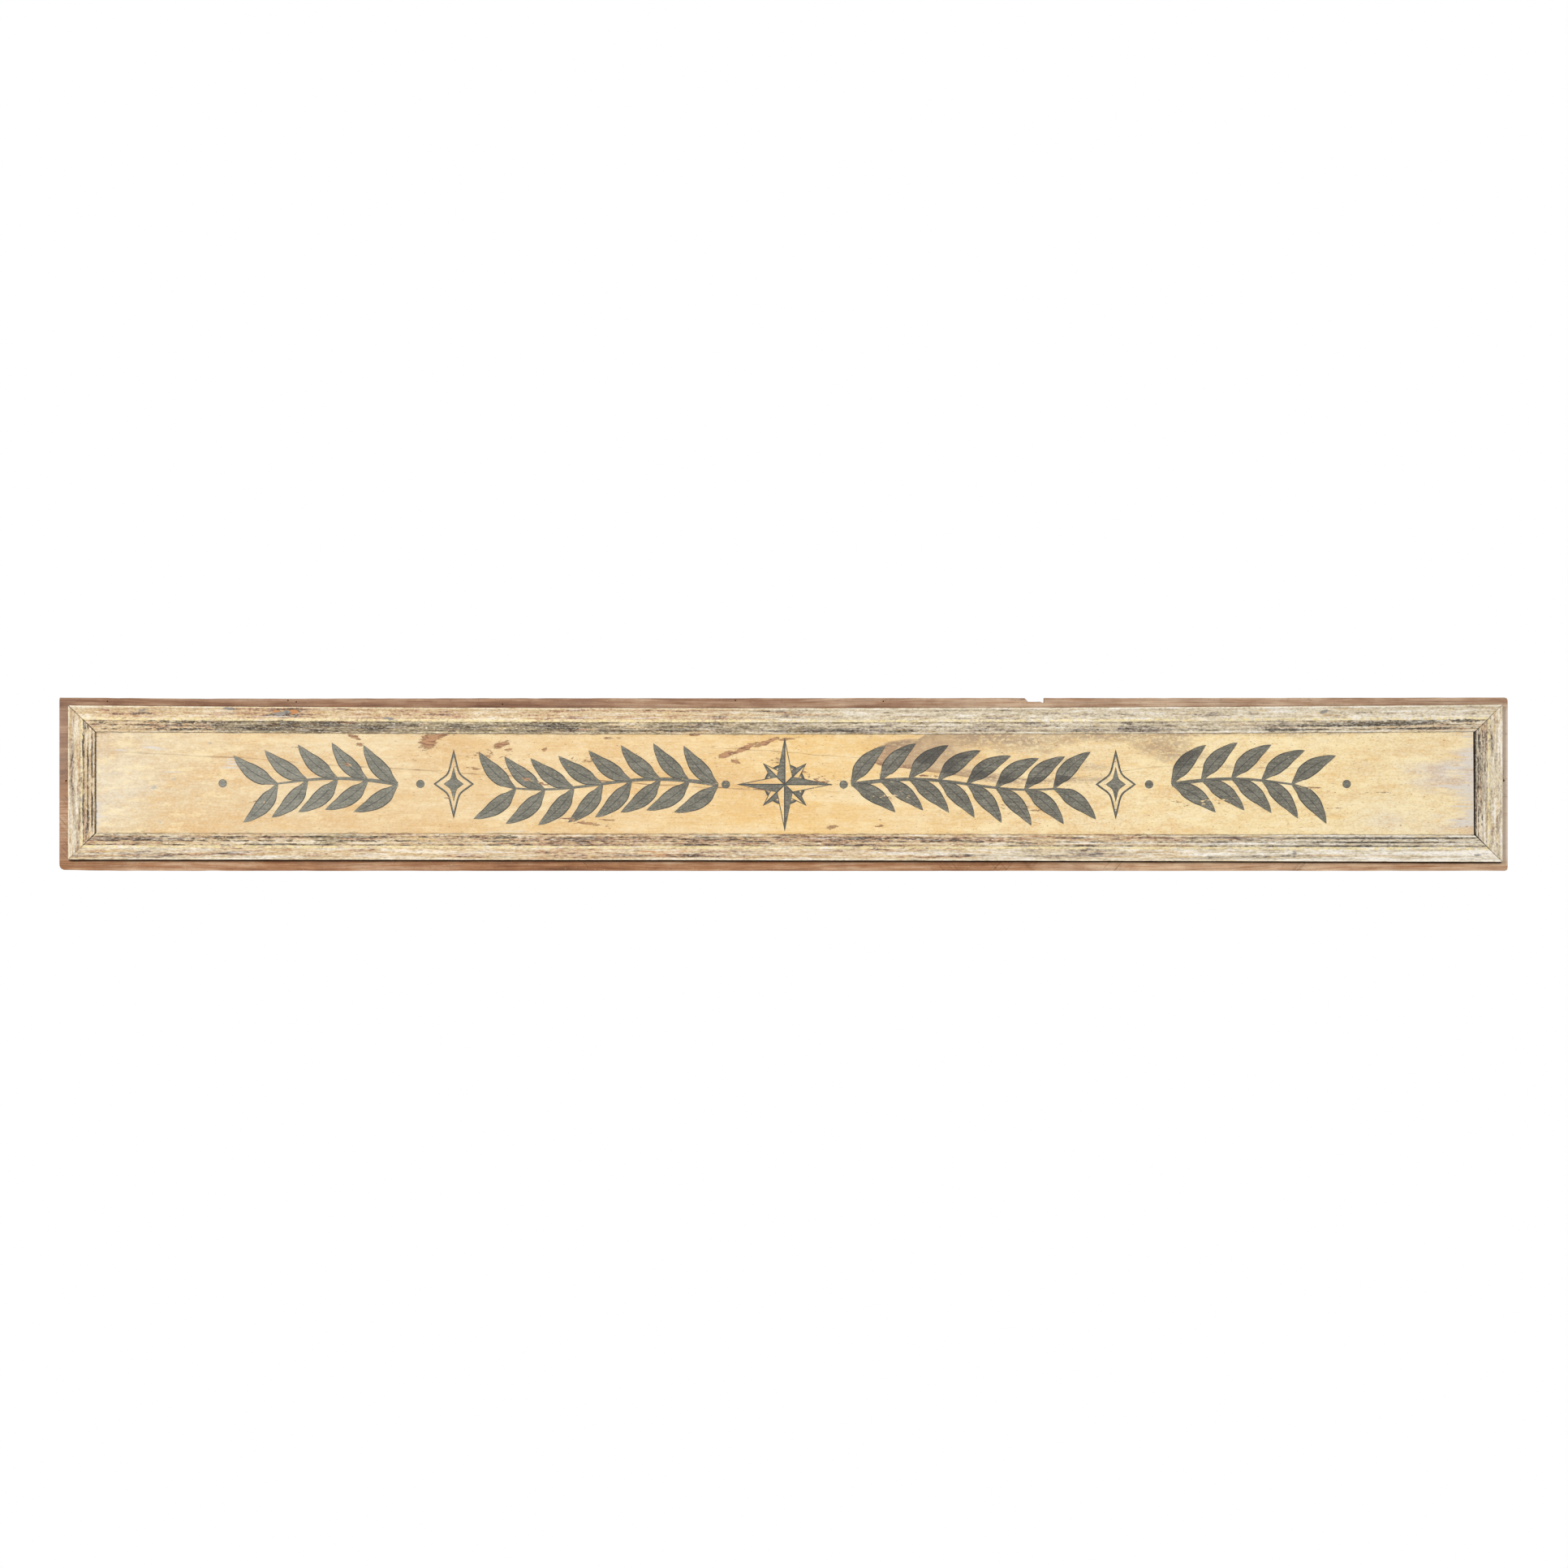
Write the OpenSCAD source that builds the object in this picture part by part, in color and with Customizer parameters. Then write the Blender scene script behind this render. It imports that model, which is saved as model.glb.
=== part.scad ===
// Long framed signboard: a painted panel inside a mitred moulding, on a wide backing board.
// X runs along the sign, +Z is up and the front faces -Y. The origin is the centre of the flat back.

/* [Backing board] */
// Length of the plank
board_l = 2438; // [1200:1:3000]
// Width of the plank
board_w = 292; // [240:1:400]
// Thickness of the plank
board_t = 22; // [18:1:32]
// Radius worn on both right-hand corners
corner_r_right = 5; // [1:0.5:12]
// Radius worn on the lower left corner
corner_r_low_left = 9; // [1:0.5:12]
// Radius worn on the upper left corner
corner_r_top_left = 1.5; // [1:0.5:12]

/* [Notch in the top edge] */
// Left end of the notch, measured from the middle of the board
notch_x = 406; // [-400:1:500]
// Length of the notch
notch_l = 33; // [20:1:60]
// Depth of the notch
notch_d = 6; // [3:0.5:8]
// Run of its sloped left side
notch_slope = 5.5; // [2:0.5:10]
// Length of the deeper pit at its right end
notch_pit_l = 7; // [3:0.5:9]
// How much deeper the pit is
notch_pit_d = 2; // [1:0.5:4]

/* [Margins of bare board] */
// Margin above the moulding
margin_top = 15; // [14:0.5:30]
// Margin below the moulding
margin_bottom = 16; // [10:0.5:30]
// Margin at the left end
margin_left = 19; // [14:0.5:30]
// Margin at the right end
margin_right = 13; // [8.5:0.5:30]

/* [Moulding] */
// Width of the moulding, outer edge to inner edge
moulding_w = 44.5; // [38:0.5:60]
// Thickness of the moulding at its outer edge
moulding_t = 22; // [20:1:30]
// Width of the flat fillet along the outer edge
fillet_w = 4.5; // [3:0.5:6]
// Drop from the outer fillet to the start of the cove
fillet_step = 1; // [0.5:0.5:2]
// Width of the cove
cove_w = 17; // [14:0.5:20]
// Fall of the cove across its width
cove_fall = 4; // [2:0.5:5]
// Sag of the cove below its chord
cove_sag = 1.6; // [1:0.2:2.4]
// Width of the narrow flat between cove and reeds
flat_w = 2; // [1:0.5:3]
// Number of reeds
reed_count = 3; // [2:1:4]
// Roundness of a reed: its radius for each unit of its pitch
reed_round = 0.6; // [0.55:0.05:0.8]
// Drop from the narrow flat to the crest of the first reed
reed_sink = 0.6; // [0.2:0.2:1.2]
// Drop from one reed's crest to the next
reed_step = 0.9; // [0.3:0.1:1.2]

/* [Sign panel] */
// Thickness of the panel
panel_t = 12; // [8:0.5:12.5]
// Gap between the panel and the left moulding
panel_gap_left = 1; // [0.5:0.5:4]
// Gap between the panel and the right moulding
panel_gap_right = 3; // [0.5:0.5:6]
// Clearance above and below the panel
panel_fit = 0.25; // [0.1:0.05:1]

/* [Nails] */
// Diameter of a moulding nail's shank
nail_d = 2; // [1.6:0.1:2.6]
// Diameter of a moulding nail's head
nail_head_d = 3.2; // [2.8:0.1:4]
// Thickness of a moulding nail's head
nail_head_t = 1.6; // [1:0.1:2]
// How far the heads are set below the cove
nail_set = 1.5; // [0.5:0.5:3]
// Distance of the nails from the moulding's outer edge
nail_inset = 11; // [8:0.5:16]
// Wood left behind the point of a moulding nail
nail_short = 1.5; // [1:0.5:6]
// Distance between nails in the side mouldings
side_nail_pitch = 150; // [80:5:150]
// Distance from a corner of the moulding to its mitre nail
mitre_inset = 14; // [10:0.5:16]
// Diameter of a mitre nail
mitre_nail_d = 1.6; // [1.2:0.1:2]
// Length of a mitre nail
mitre_nail_l = 34; // [28:1:40]
// Height of the mitre nails above the backing board
mitre_nail_h = 9; // [6:0.5:12]
// Diameter of a panel nail's shank
panel_nail_d = 1.8; // [1.4:0.1:2.4]
// Diameter of a panel nail's flat head
panel_nail_head_d = 4; // [3:0.5:6]
// Thickness of a panel nail's flat head
panel_nail_head_t = 0.8; // [0.5:0.1:1.2]
// Wood left behind the point of a panel nail
panel_nail_short = 4; // [1:0.5:10]

/* [Holes] */
// Diameter of the fixing hole at each end
end_hole_d = 3; // [2:0.5:3.5]
// Distance of the left fixing hole from the board's end
end_hole_left = 11.5; // [8:0.5:12]
// Distance of the right fixing hole from the board's end
end_hole_right = 6.5; // [5:0.5:6.5]
// Height of the fixing holes above the board's middle
end_hole_z = 6; // [-60:1:60]
// Diameter of the old nail holes in the top margin
old_hole_d = 2.4; // [1.5:0.1:3]

/* [Hidden] */
$fn = 48;

bare_wood = "#a07a5c";
ochre_paint = "#efcb91";
cream_paint = "#e3d0a8";
rusty_steel = "#5a4438";

// A cut runs this far past the surface that it opens
over = 1;

// The moulding's outer rectangle on the board
frame_left = -board_l / 2 + margin_left;
frame_right = board_l / 2 - margin_right;
frame_low = -board_w / 2 + margin_bottom;
frame_high = board_w / 2 - margin_top;
frame_middle = [(frame_left + frame_right) / 2, (frame_low + frame_high) / 2];

// The opening that the moulding leaves for the panel
open_l = frame_right - frame_left - 2 * moulding_w;
open_w = frame_high - frame_low - 2 * moulding_w;

// Depths along Y
board_front = -board_t;
panel_front = board_front - panel_t;

// The cove is an arc through its two ends with the given sag
cove_start = [fillet_w, moulding_t - fillet_step];
cove_end = cove_start + [cove_w, -cove_fall];
cove_chord = norm(cove_end - cove_start);
cove_r = cove_chord * cove_chord / (8 * cove_sag) + cove_sag / 2;
cove_normal = [cove_fall, cove_w] / cove_chord;
cove_centre = (cove_start + cove_end) / 2 + cove_normal * (cove_r - cove_sag);

// The reeds share what is left of the width
flat_end = cove_end[0] + flat_w;
reed_pitch = (moulding_w - flat_end) / reed_count;
reed_r = reed_pitch * reed_round;
first_crest = cove_end[1] - reed_sink;

function reed_centre(i) = [flat_end + reed_pitch * (i + 0.5), first_crest - reed_step * i - reed_r];
function cove_height(u) = cove_centre[1] - sqrt(cove_r * cove_r - pow(u - cove_centre[0], 2));

// A moulding nail's head ends this high above the backing board
nail_top = cove_height(nail_inset) - nail_set;

// Nails and old holes are placed from the middle of the opening, which had this size when they were placed
placed_open_l = 2326;
placed_open_w = 172;
function along(x) = frame_middle[0] + x * open_l / placed_open_l;
function across(z) = frame_middle[1] + z * open_w / placed_open_w;

// The nails that show, with others between them where a joiner would put them
top_nail_x = [-1150, -936, -836, -666, -400, -130, 150, 430, 640, 784, 906, 1150];
bottom_nail_x = [-1150, -900, -620, -340, -60, 220, 500, 857, 1166];
side_nail_z = [-side_nail_pitch / 2, side_nail_pitch / 2];

// The four panel nails that show near the left end, then pairs along both edges
panel_nail_places = [
    [-1058, -6], [-1051, -64], [-1028, 8], [-966, 69],
    [-350, 70], [-350, -70], [350, 70], [350, -70], [1060, 70], [1060, -70]
];

// Distances along the sign and down from the board's top edge
old_hole_places = [[-1138, 6.5], [-834, 5], [-820, 7.5], [-473, 11.5], [-81, 5], [168, 6.5]];

// A straight round bar that starts at a point and runs towards the back of the sign
module bar(x, y, z, d, l) {
    translate([x, y, z]) rotate([-90, 0, 0]) cylinder(d = d, h = l);
}

// The corner of a rectangle that lies outside a round of radius r
module corner_cut(r) {
    difference() {
        translate([-over, -over]) square(r + over);
        translate([r, r]) circle(r = r);
    }
}

// The notch, with its sloped left side and the pit at its right end
module notch_cut() {
    top = board_w / 2;
    end = notch_x + notch_l;
    polygon([
        [notch_x, top + over],
        [notch_x, top],
        [notch_x + notch_slope, top - notch_d],
        [end - notch_pit_l, top - notch_d],
        [end - notch_pit_l / 2, top - notch_d - notch_pit_d],
        [end, top - notch_d - notch_pit_d],
        [end, top + over]
    ]);
}

// The plank seen from the front
module board_outline() {
    difference() {
        square([board_l, board_w], center = true);
        translate([-board_l / 2, -board_w / 2]) corner_cut(corner_r_low_left);
        translate([board_l / 2, -board_w / 2]) rotate(90) corner_cut(corner_r_right);
        translate([board_l / 2, board_w / 2]) rotate(180) corner_cut(corner_r_right);
        translate([-board_l / 2, board_w / 2]) rotate(270) corner_cut(corner_r_top_left);
        notch_cut();
    }
}

module board_holes() {
    through = board_t + 2 * over;
    for (x = [-board_l / 2 + end_hole_left, board_l / 2 - end_hole_right])
        bar(x, board_front - over, end_hole_z, end_hole_d, through);
    for (p = old_hole_places)
        bar(along(p[0]), board_front - over, board_w / 2 - p[1], old_hole_d, through);
}

// Section of the moulding: distance from its outer edge, then height above the backing board
module moulding_section() {
    intersection() {
        square([moulding_w, moulding_t]);
        difference() {
            union() {
                polygon([
                    [0, 0],
                    [moulding_w, 0],
                    [moulding_w, reed_centre(reed_count - 1)[1]],
                    [flat_end, reed_centre(0)[1]],
                    [flat_end, cove_end[1]],
                    cove_end,
                    cove_start,
                    [fillet_w, moulding_t],
                    [0, moulding_t]
                ]);
                for (i = [0:reed_count - 1]) translate(reed_centre(i)) circle(r = reed_r);
            }
            intersection() {
                translate(cove_centre) circle(r = cove_r, $fn = 96);
                translate([fillet_w, 0]) square([cove_w, moulding_t]);
            }
        }
    }
}

// What lies past the 45 degree line through a corner at the origin
module mitre_cut() {
    reach = moulding_w + over;
    translate([0, over, 0]) rotate([90, 0, 0]) linear_extrude(height = moulding_t + 2 * over)
        polygon([[over, -over], [over, reach], [-reach, reach]]);
}

// A mitred length along X: its outer edge is on the X axis and its inner edge lies towards +Z
module mitred_length(l) {
    difference() {
        translate([-l / 2, 0, 0]) rotate([90, 0, 90]) linear_extrude(height = l) rotate(90)
            moulding_section();
        translate([l / 2, 0, 0]) mitre_cut();
        translate([-l / 2, 0, 0]) mirror([1, 0, 0]) mitre_cut();
    }
}

// The moulding on one side of the frame, before it is nailed
module mitred_side(side) {
    frame_l = frame_right - frame_left;
    frame_w = frame_high - frame_low;
    translate([frame_middle[0], board_front, frame_middle[1]]) {
        if (side == "top") translate([0, 0, frame_w / 2]) mirror([0, 0, 1]) mitred_length(frame_l);
        if (side == "bottom") translate([0, 0, -frame_w / 2]) mitred_length(frame_l);
        if (side == "left") translate([-frame_l / 2, 0, 0]) rotate([0, 90, 0]) mitred_length(frame_w);
        if (side == "right") translate([frame_l / 2, 0, 0]) rotate([0, -90, 0]) mitred_length(frame_w);
    }
}

// A nail through the moulding; extra carries the hole of its head out through the cove
module moulding_nail(x, z, extra) {
    top = board_front - nail_top;
    bar(x, top - extra, z, nail_head_d, nail_head_t + extra);
    bar(x, top, z, nail_d, nail_top + board_t - nail_short);
}

module side_nails(side, extra = 0) {
    if (side == "top") for (x = top_nail_x) moulding_nail(along(x), frame_high - nail_inset, extra);
    if (side == "bottom") for (x = bottom_nail_x) moulding_nail(along(x), frame_low + nail_inset, extra);
    if (side == "left" || side == "right") for (z = side_nail_z) {
        x = side == "left" ? frame_left + nail_inset : frame_right - nail_inset;
        moulding_nail(x, frame_middle[1] + z, extra);
    }
}

// Driven from the outer edge of a long moulding, across the mitre, into the side moulding
module corner_nails() {
    for (x = [frame_left + mitre_inset, frame_right - mitre_inset])
        for (z = [frame_low, frame_high - mitre_nail_l])
            translate([x, board_front - mitre_nail_h, z]) cylinder(d = mitre_nail_d, h = mitre_nail_l);
}

module flat_head_nails() {
    for (p = panel_nail_places) {
        bar(along(p[0]), panel_front, across(p[1]), panel_nail_head_d, panel_nail_head_t);
        bar(along(p[0]), panel_front, across(p[1]), panel_nail_d, panel_t + board_t - panel_nail_short);
    }
}

module nailed_side(side) {
    difference() {
        mitred_side(side);
        side_nails(side, extra = moulding_t);
        corner_nails();
    }
}

module backing_board() {
    color(bare_wood) difference() {
        rotate([90, 0, 0]) linear_extrude(height = board_t) board_outline();
        board_holes();
        for (side = ["top", "bottom", "left", "right"]) side_nails(side);
        flat_head_nails();
    }
}

module sign_panel() {
    panel_l = open_l - panel_gap_left - panel_gap_right;
    panel_w = open_w - 2 * panel_fit;
    left = frame_left + moulding_w + panel_gap_left;
    color(ochre_paint) difference() {
        translate([left, panel_front, frame_middle[1] - panel_w / 2]) cube([panel_l, panel_t, panel_w]);
        flat_head_nails();
    }
}

module moulding_top() {
    color(cream_paint) nailed_side("top");
}

module moulding_bottom() {
    color(cream_paint) nailed_side("bottom");
}

module moulding_left() {
    color(cream_paint) nailed_side("left");
}

module moulding_right() {
    color(cream_paint) nailed_side("right");
}

module moulding_top_nails() {
    color(rusty_steel) side_nails("top");
}

module moulding_bottom_nails() {
    color(rusty_steel) side_nails("bottom");
}

module moulding_left_nails() {
    color(rusty_steel) side_nails("left");
}

module moulding_right_nails() {
    color(rusty_steel) side_nails("right");
}

module mitre_nails() {
    color(rusty_steel) corner_nails();
}

module panel_nails() {
    color(rusty_steel) flat_head_nails();
}

backing_board();
sign_panel();
moulding_top();
moulding_bottom();
moulding_left();
moulding_right();
moulding_top_nails();
moulding_bottom_nails();
moulding_left_nails();
moulding_right_nails();
mitre_nails();
panel_nails();
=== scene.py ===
# Looks of the long framed signboard: weathered board, worn moulding paint, cracked ochre panel and
# faded black ornament
import math
import bmesh
import bpy
import numpy as np
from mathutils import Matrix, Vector, noise


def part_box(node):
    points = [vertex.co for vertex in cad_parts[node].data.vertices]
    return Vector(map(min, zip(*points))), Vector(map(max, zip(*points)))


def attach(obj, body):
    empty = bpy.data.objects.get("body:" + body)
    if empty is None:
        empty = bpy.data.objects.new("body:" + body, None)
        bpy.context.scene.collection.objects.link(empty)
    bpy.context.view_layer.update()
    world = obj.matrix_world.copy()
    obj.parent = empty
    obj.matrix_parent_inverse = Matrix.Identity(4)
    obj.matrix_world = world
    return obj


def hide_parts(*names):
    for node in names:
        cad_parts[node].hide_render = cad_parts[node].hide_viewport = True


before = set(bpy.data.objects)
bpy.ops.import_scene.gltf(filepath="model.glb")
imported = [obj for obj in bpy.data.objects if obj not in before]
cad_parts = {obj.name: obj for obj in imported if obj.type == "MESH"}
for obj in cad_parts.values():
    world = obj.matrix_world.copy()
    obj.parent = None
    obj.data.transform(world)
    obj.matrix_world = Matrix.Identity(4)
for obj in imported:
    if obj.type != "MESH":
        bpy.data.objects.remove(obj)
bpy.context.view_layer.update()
print("frame loaded:", len(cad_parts), "nodes")

metre = 1000.0  # millimetres; every size below is in millimetres


# The low and high corner of a CAD node
def nodeBox(name):
    low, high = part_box(name)
    return [c * metre for c in low], [c * metre for c in high]


boardLow, boardHigh = nodeBox("backing_board")
panelLow, panelHigh = nodeBox("sign_panel")
# the frame is the four mouldings; its corners and middle are x and z
frameLow = [nodeBox("moulding_left")[0][0], nodeBox("moulding_bottom")[0][2]]
frameHigh = [nodeBox("moulding_right")[1][0], nodeBox("moulding_top")[1][2]]
mouldingWidth = nodeBox("moulding_left")[1][0] - frameLow[0]
boardFront = boardLow[1]
panelFront = panelLow[1]
frameMiddle = [(frameLow[0] + frameHigh[0]) / 2, (frameLow[1] + frameHigh[1]) / 2]
frameLength = frameHigh[0] - frameLow[0]
frameWidth = frameHigh[1] - frameLow[1]


# Camera, world and lights

viewPlan = {
    "photoSide": 1932,  # pixels along each side of the photograph
    "pixelSize": 1.366,  # millimetres of the board's face in one pixel
    "distance": 6000,  # from the camera to the board's face
    "middle": (0.8, 0.3),  # x and z that the middle of the photograph looks at
}

lightPlan = {
    "skyForCamera": 1.0,
    "skyForLight": 0.62,
    "keyPlace": (-1300, -5200, 1150),  # a soft box a little above and left of the camera
    "keySize": 700,
    "keyPower": 140,
    "backPlace": (600, 4200, 2900),  # gives the back some relief
    "backSize": 1500,
    "backPower": 90,
    "floorHeight": -1600,
    "floorReach": (4500, -7000, 1150),  # half length, front edge, back edge
}


def addObject(name, data):
    made = bpy.data.objects.new(name, data)
    bpy.context.scene.collection.objects.link(made)
    return made


def newMesh(name, points, edges=(), faces=()):
    mesh = bpy.data.meshes.new(name)
    mesh.from_pydata((np.asarray(points, float) / metre).tolist(), edges, faces)
    return mesh


def makeCamera():
    data = bpy.data.cameras.new("camera")
    camera = addObject("camera", data)
    halfView = viewPlan["photoSide"] / 2 * viewPlan["pixelSize"]
    data.angle = 2 * math.atan(halfView / viewPlan["distance"])
    x, z = viewPlan["middle"]
    camera.location = Vector((x, boardFront - viewPlan["distance"], z)) / metre
    camera.rotation_euler = (math.radians(90), 0, 0)
    data.clip_end = 100
    bpy.context.scene.camera = camera


def softBox(name, place, target, size, power):
    data = bpy.data.lights.new(name, "AREA")
    data.size = size / metre
    data.energy = power
    light = addObject(name, data)
    light.location = Vector(place) / metre
    aim = Vector(target) / metre - light.location
    light.rotation_euler = aim.to_track_quat("-Z", "Y").to_euler()
    light.visible_camera = False


def linearColour(code):
    channels = [int(code[i:i + 2], 16) / 255 for i in (1, 3, 5)]
    linear = [c / 12.92 if c <= 0.04045 else ((c + 0.055) / 1.055) ** 2.4 for c in channels]
    return (*linear, 1.0)


# The one function that adds a node: inputs by name or place, settings by name, and the output wanted
def addNode(tree, kind, inputs=None, out=0, **settings):
    node = tree.nodes.new(kind)
    for name, value in settings.items():
        setattr(node, name, value)
    for key, value in (inputs or {}).items():
        if isinstance(value, bpy.types.NodeSocket):
            tree.links.new(value, node.inputs[key])
        else:
            node.inputs[key].default_value = value
    return node if out is None else node.outputs[out]


def makeWorld():
    world = bpy.data.worlds.new("studio")
    world.use_nodes = True
    tree = world.node_tree
    tree.nodes.clear()
    white = (1, 1, 1, 1)
    seen = addNode(tree, "ShaderNodeBackground", {0: white, 1: lightPlan["skyForCamera"]})
    lit = addNode(tree, "ShaderNodeBackground", {0: white, 1: lightPlan["skyForLight"]})
    isCamera = addNode(tree, "ShaderNodeLightPath")
    sky = addNode(tree, "ShaderNodeMixShader", {0: isCamera, 1: lit, 2: seen})
    addNode(tree, "ShaderNodeOutputWorld", {0: sky}, out=None)
    bpy.context.scene.world = world


def makeFloor():
    halfLength, front, back = lightPlan["floorReach"]
    corners = [(-halfLength, front), (halfLength, front), (halfLength, back), (-halfLength, back)]
    mesh = newMesh("floor", [(x, y, lightPlan["floorHeight"]) for x, y in corners], faces=[(0, 1, 2, 3)])
    paper = bpy.data.materials.new("floorPaper")
    paper.use_nodes = True
    shader = paper.node_tree.nodes["Principled BSDF"]
    shader.inputs["Base Color"].default_value = linearColour("#e4e3e0")
    shader.inputs["Roughness"].default_value = 0.9
    mesh.materials.append(paper)
    addObject("floor", mesh)


makeCamera()
makeWorld()
softBox("keyLight", lightPlan["keyPlace"], (0, 0, 0), lightPlan["keySize"], lightPlan["keyPower"])
softBox("backLight", lightPlan["backPlace"], (0, 0, 0), lightPlan["backSize"], lightPlan["backPower"])
makeFloor()
bpy.context.scene.view_settings.view_transform = "Standard"
print("camera, lights and floor made")


# How the old frame has moved: the top moulding sags in the middle and the right end has spread

racking = {
    "top": (-3.5, 0.6, 5.3),  # rise at the middle, along the length, and towards both ends
    "bottom": (2.4, -2.0, -0.7),
}


def rackedHeight(x, z):
    s = (x - frameMiddle[0]) / (frameLength / 2)
    top, bottom = (racking[side][0] + racking[side][1] * s + racking[side][2] * s * s
                   for side in ("top", "bottom"))
    share = np.clip((z - frameLow[1]) / frameWidth, 0, 1)
    return z + top * share + bottom * (1 - share)


# Mesh helpers

def pointsOf(mesh):
    points = np.empty(len(mesh.vertices) * 3, np.float32)
    mesh.vertices.foreach_get("co", points)
    return points.reshape(-1, 3).astype(float) * metre


# Lets a piece follow the racked frame
def rack(mesh):
    points = pointsOf(mesh)
    points[:, 2] = rackedHeight(points[:, 0], points[:, 2])
    mesh.vertices.foreach_set("co", (points / metre).astype(np.float32).ravel())
    mesh.update()


# Stores a number for each point, or three
def setField(mesh, name, values):
    values = np.asarray(values, np.float32)
    kind, slot = ("FLOAT", "value") if values.ndim == 1 else ("FLOAT_VECTOR", "vector")
    field = mesh.attributes.get(name) or mesh.attributes.new(name, kind, "POINT")
    field.data.foreach_set(slot, values.T.ravel())


def getField(mesh, name):
    values = np.empty(len(mesh.vertices), np.float32)
    mesh.attributes[name].data.foreach_get("value", values)
    return values


# Replaces a piece's modifiers by the plain mesh that they give
def settle(piece):
    graph = bpy.context.evaluated_depsgraph_get()
    mesh = bpy.data.meshes.new_from_object(piece.evaluated_get(graph), depsgraph=graph)
    mesh.name = piece.name
    old = piece.data
    piece.modifiers.clear()
    piece.data = mesh
    bpy.data.meshes.remove(old)
    # only the material that its tree set
    painted = [material for material in mesh.materials if material]
    mesh.materials.clear()
    for material in painted:
        mesh.materials.append(material)
    mesh.polygons.foreach_set("material_index", [0] * len(mesh.polygons))
    return piece


# Hangs a piece under the body that carries it, and hides the CAD nodes it replaces
def finishPiece(piece, slot, *nodes):
    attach(piece, "root")
    if nodes:
        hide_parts(*nodes)
    print("made:", piece.name, len(piece.data.polygons), "faces")


# A value from 0 to 1 that wanders smoothly along a line, the same each run
def wander(x, reach, seed):
    values = np.random.default_rng(seed).random(4000)
    place = np.asarray(x, float) / reach + 1500  # the sign's middle is at this value
    low = np.floor(place).astype(int)
    t = place - low
    t = t * t * (3 - 2 * t)
    return values[low] * (1 - t) + values[low + 1] * t


# Soft oval spots: (x, z, half length, half height, slope in degrees, strength)
def spotField(x, z, spots):
    field = np.zeros(len(x))
    for middleX, middleZ, halfLength, halfHeight, slope, strength in spots:
        turn = math.radians(slope)
        along = (x - middleX) * math.cos(turn) + (z - middleZ) * math.sin(turn)
        across = (z - middleZ) * math.cos(turn) - (x - middleX) * math.sin(turn)
        away = (along / halfLength) ** 2 + (across / halfHeight) ** 2
        field = np.maximum(field, strength * np.exp(-away))
    return field


# Shader helpers

# A material with its object coordinates in millimetres
def startMaterial(name, roughness, specular, metallic=0.0):
    material = bpy.data.materials.new(name)
    material.use_nodes = True
    tree = material.node_tree
    shader = tree.nodes["Principled BSDF"]
    shader.inputs["Roughness"].default_value = roughness
    shader.inputs["Specular IOR Level"].default_value = specular
    shader.inputs["Metallic"].default_value = metallic
    place = addNode(tree, "ShaderNodeTexCoord", out="Object")
    place = addNode(tree, "ShaderNodeVectorMath", {0: place, "Scale": metre}, operation="SCALE")
    return material, tree, place


# A field from 0 to 1 whose patches are drawn out along X: size is (length, width) in millimetres
def driftField(tree, place, size, seed, detail=5.0, rough=0.6):
    length, width = size
    spread = addNode(tree, "ShaderNodeMapping", {
        "Vector": place,
        "Location": (seed * 17.3, seed * 5.1, seed * 9.7),
        "Scale": (1 / length, 1 / width, 1 / width),
    })
    values = {"Vector": spread, "Scale": 1.0, "Detail": detail, "Roughness": rough}
    return addNode(tree, "ShaderNodeTexNoise", values)


# A mask over about this share of a field, which may be a number or a socket. Noise keeps between about
# 0.29 and 0.71, and the share is measured between those.
def covering(tree, field, share, soft=0.05):
    start = addNode(tree, "ShaderNodeMath", {0: share, 1: -0.42, 2: 0.71}, operation="MULTIPLY_ADD")
    end = addNode(tree, "ShaderNodeMath", {0: start, 1: soft}, operation="ADD")
    return addNode(tree, "ShaderNodeMapRange", {"Value": field, "From Min": start, "From Max": end})


# Patches of about that size over about that share of the surface; soft is how wide their edges are
def patches(tree, place, size, seed, share, soft=0.05, detail=5.0, rough=0.6):
    return covering(tree, driftField(tree, place, size, seed, detail, rough), share, soft)


# Gives a ramp its stops, each a place and a colour or value
def setStops(ramp, stops):
    elements = ramp.color_ramp.elements
    while len(elements) < len(stops):
        elements.new(0.5)
    for element, (where, value) in zip(elements, stops):
        element.position = where
        element.color = linearColour(value) if isinstance(value, str) else (value, value, value, 1)
    return ramp.outputs["Color"]


# Colours or values at places in millimetres along the sign, or across a section
def alongSign(tree, distance, stops):
    first, last = stops[0][0], stops[-1][0]
    share = addNode(tree, "ShaderNodeMapRange", {"Value": distance, "From Min": first, "From Max": last})
    ramp = addNode(tree, "ShaderNodeValToRGB", {"Fac": share}, out=None)
    return setStops(ramp, [((where - first) / (last - first), value) for where, value in stops])


def multiply(tree, first, *others):
    for other in others:
        first = addNode(tree, "ShaderNodeMath", {0: first, 1: other}, operation="MULTIPLY")
    return first


# Adds up fields, each with its weight
def addUp(tree, total, parts):
    for field, weight in parts:
        total = addNode(tree, "ShaderNodeMath", {0: field, 1: weight, 2: total}, operation="MULTIPLY_ADD")
    return total


# Lays colours over a base, each through its masks and strengths multiplied together
def layColours(tree, base, layers):
    for *masks, colour in layers:
        if isinstance(colour, str):
            colour = linearColour(colour)
        mask = multiply(tree, *masks)
        base = addNode(tree, "ShaderNodeMix", {0: mask, 6: base, 7: colour}, out=2, data_type="RGBA")
    return base


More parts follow.
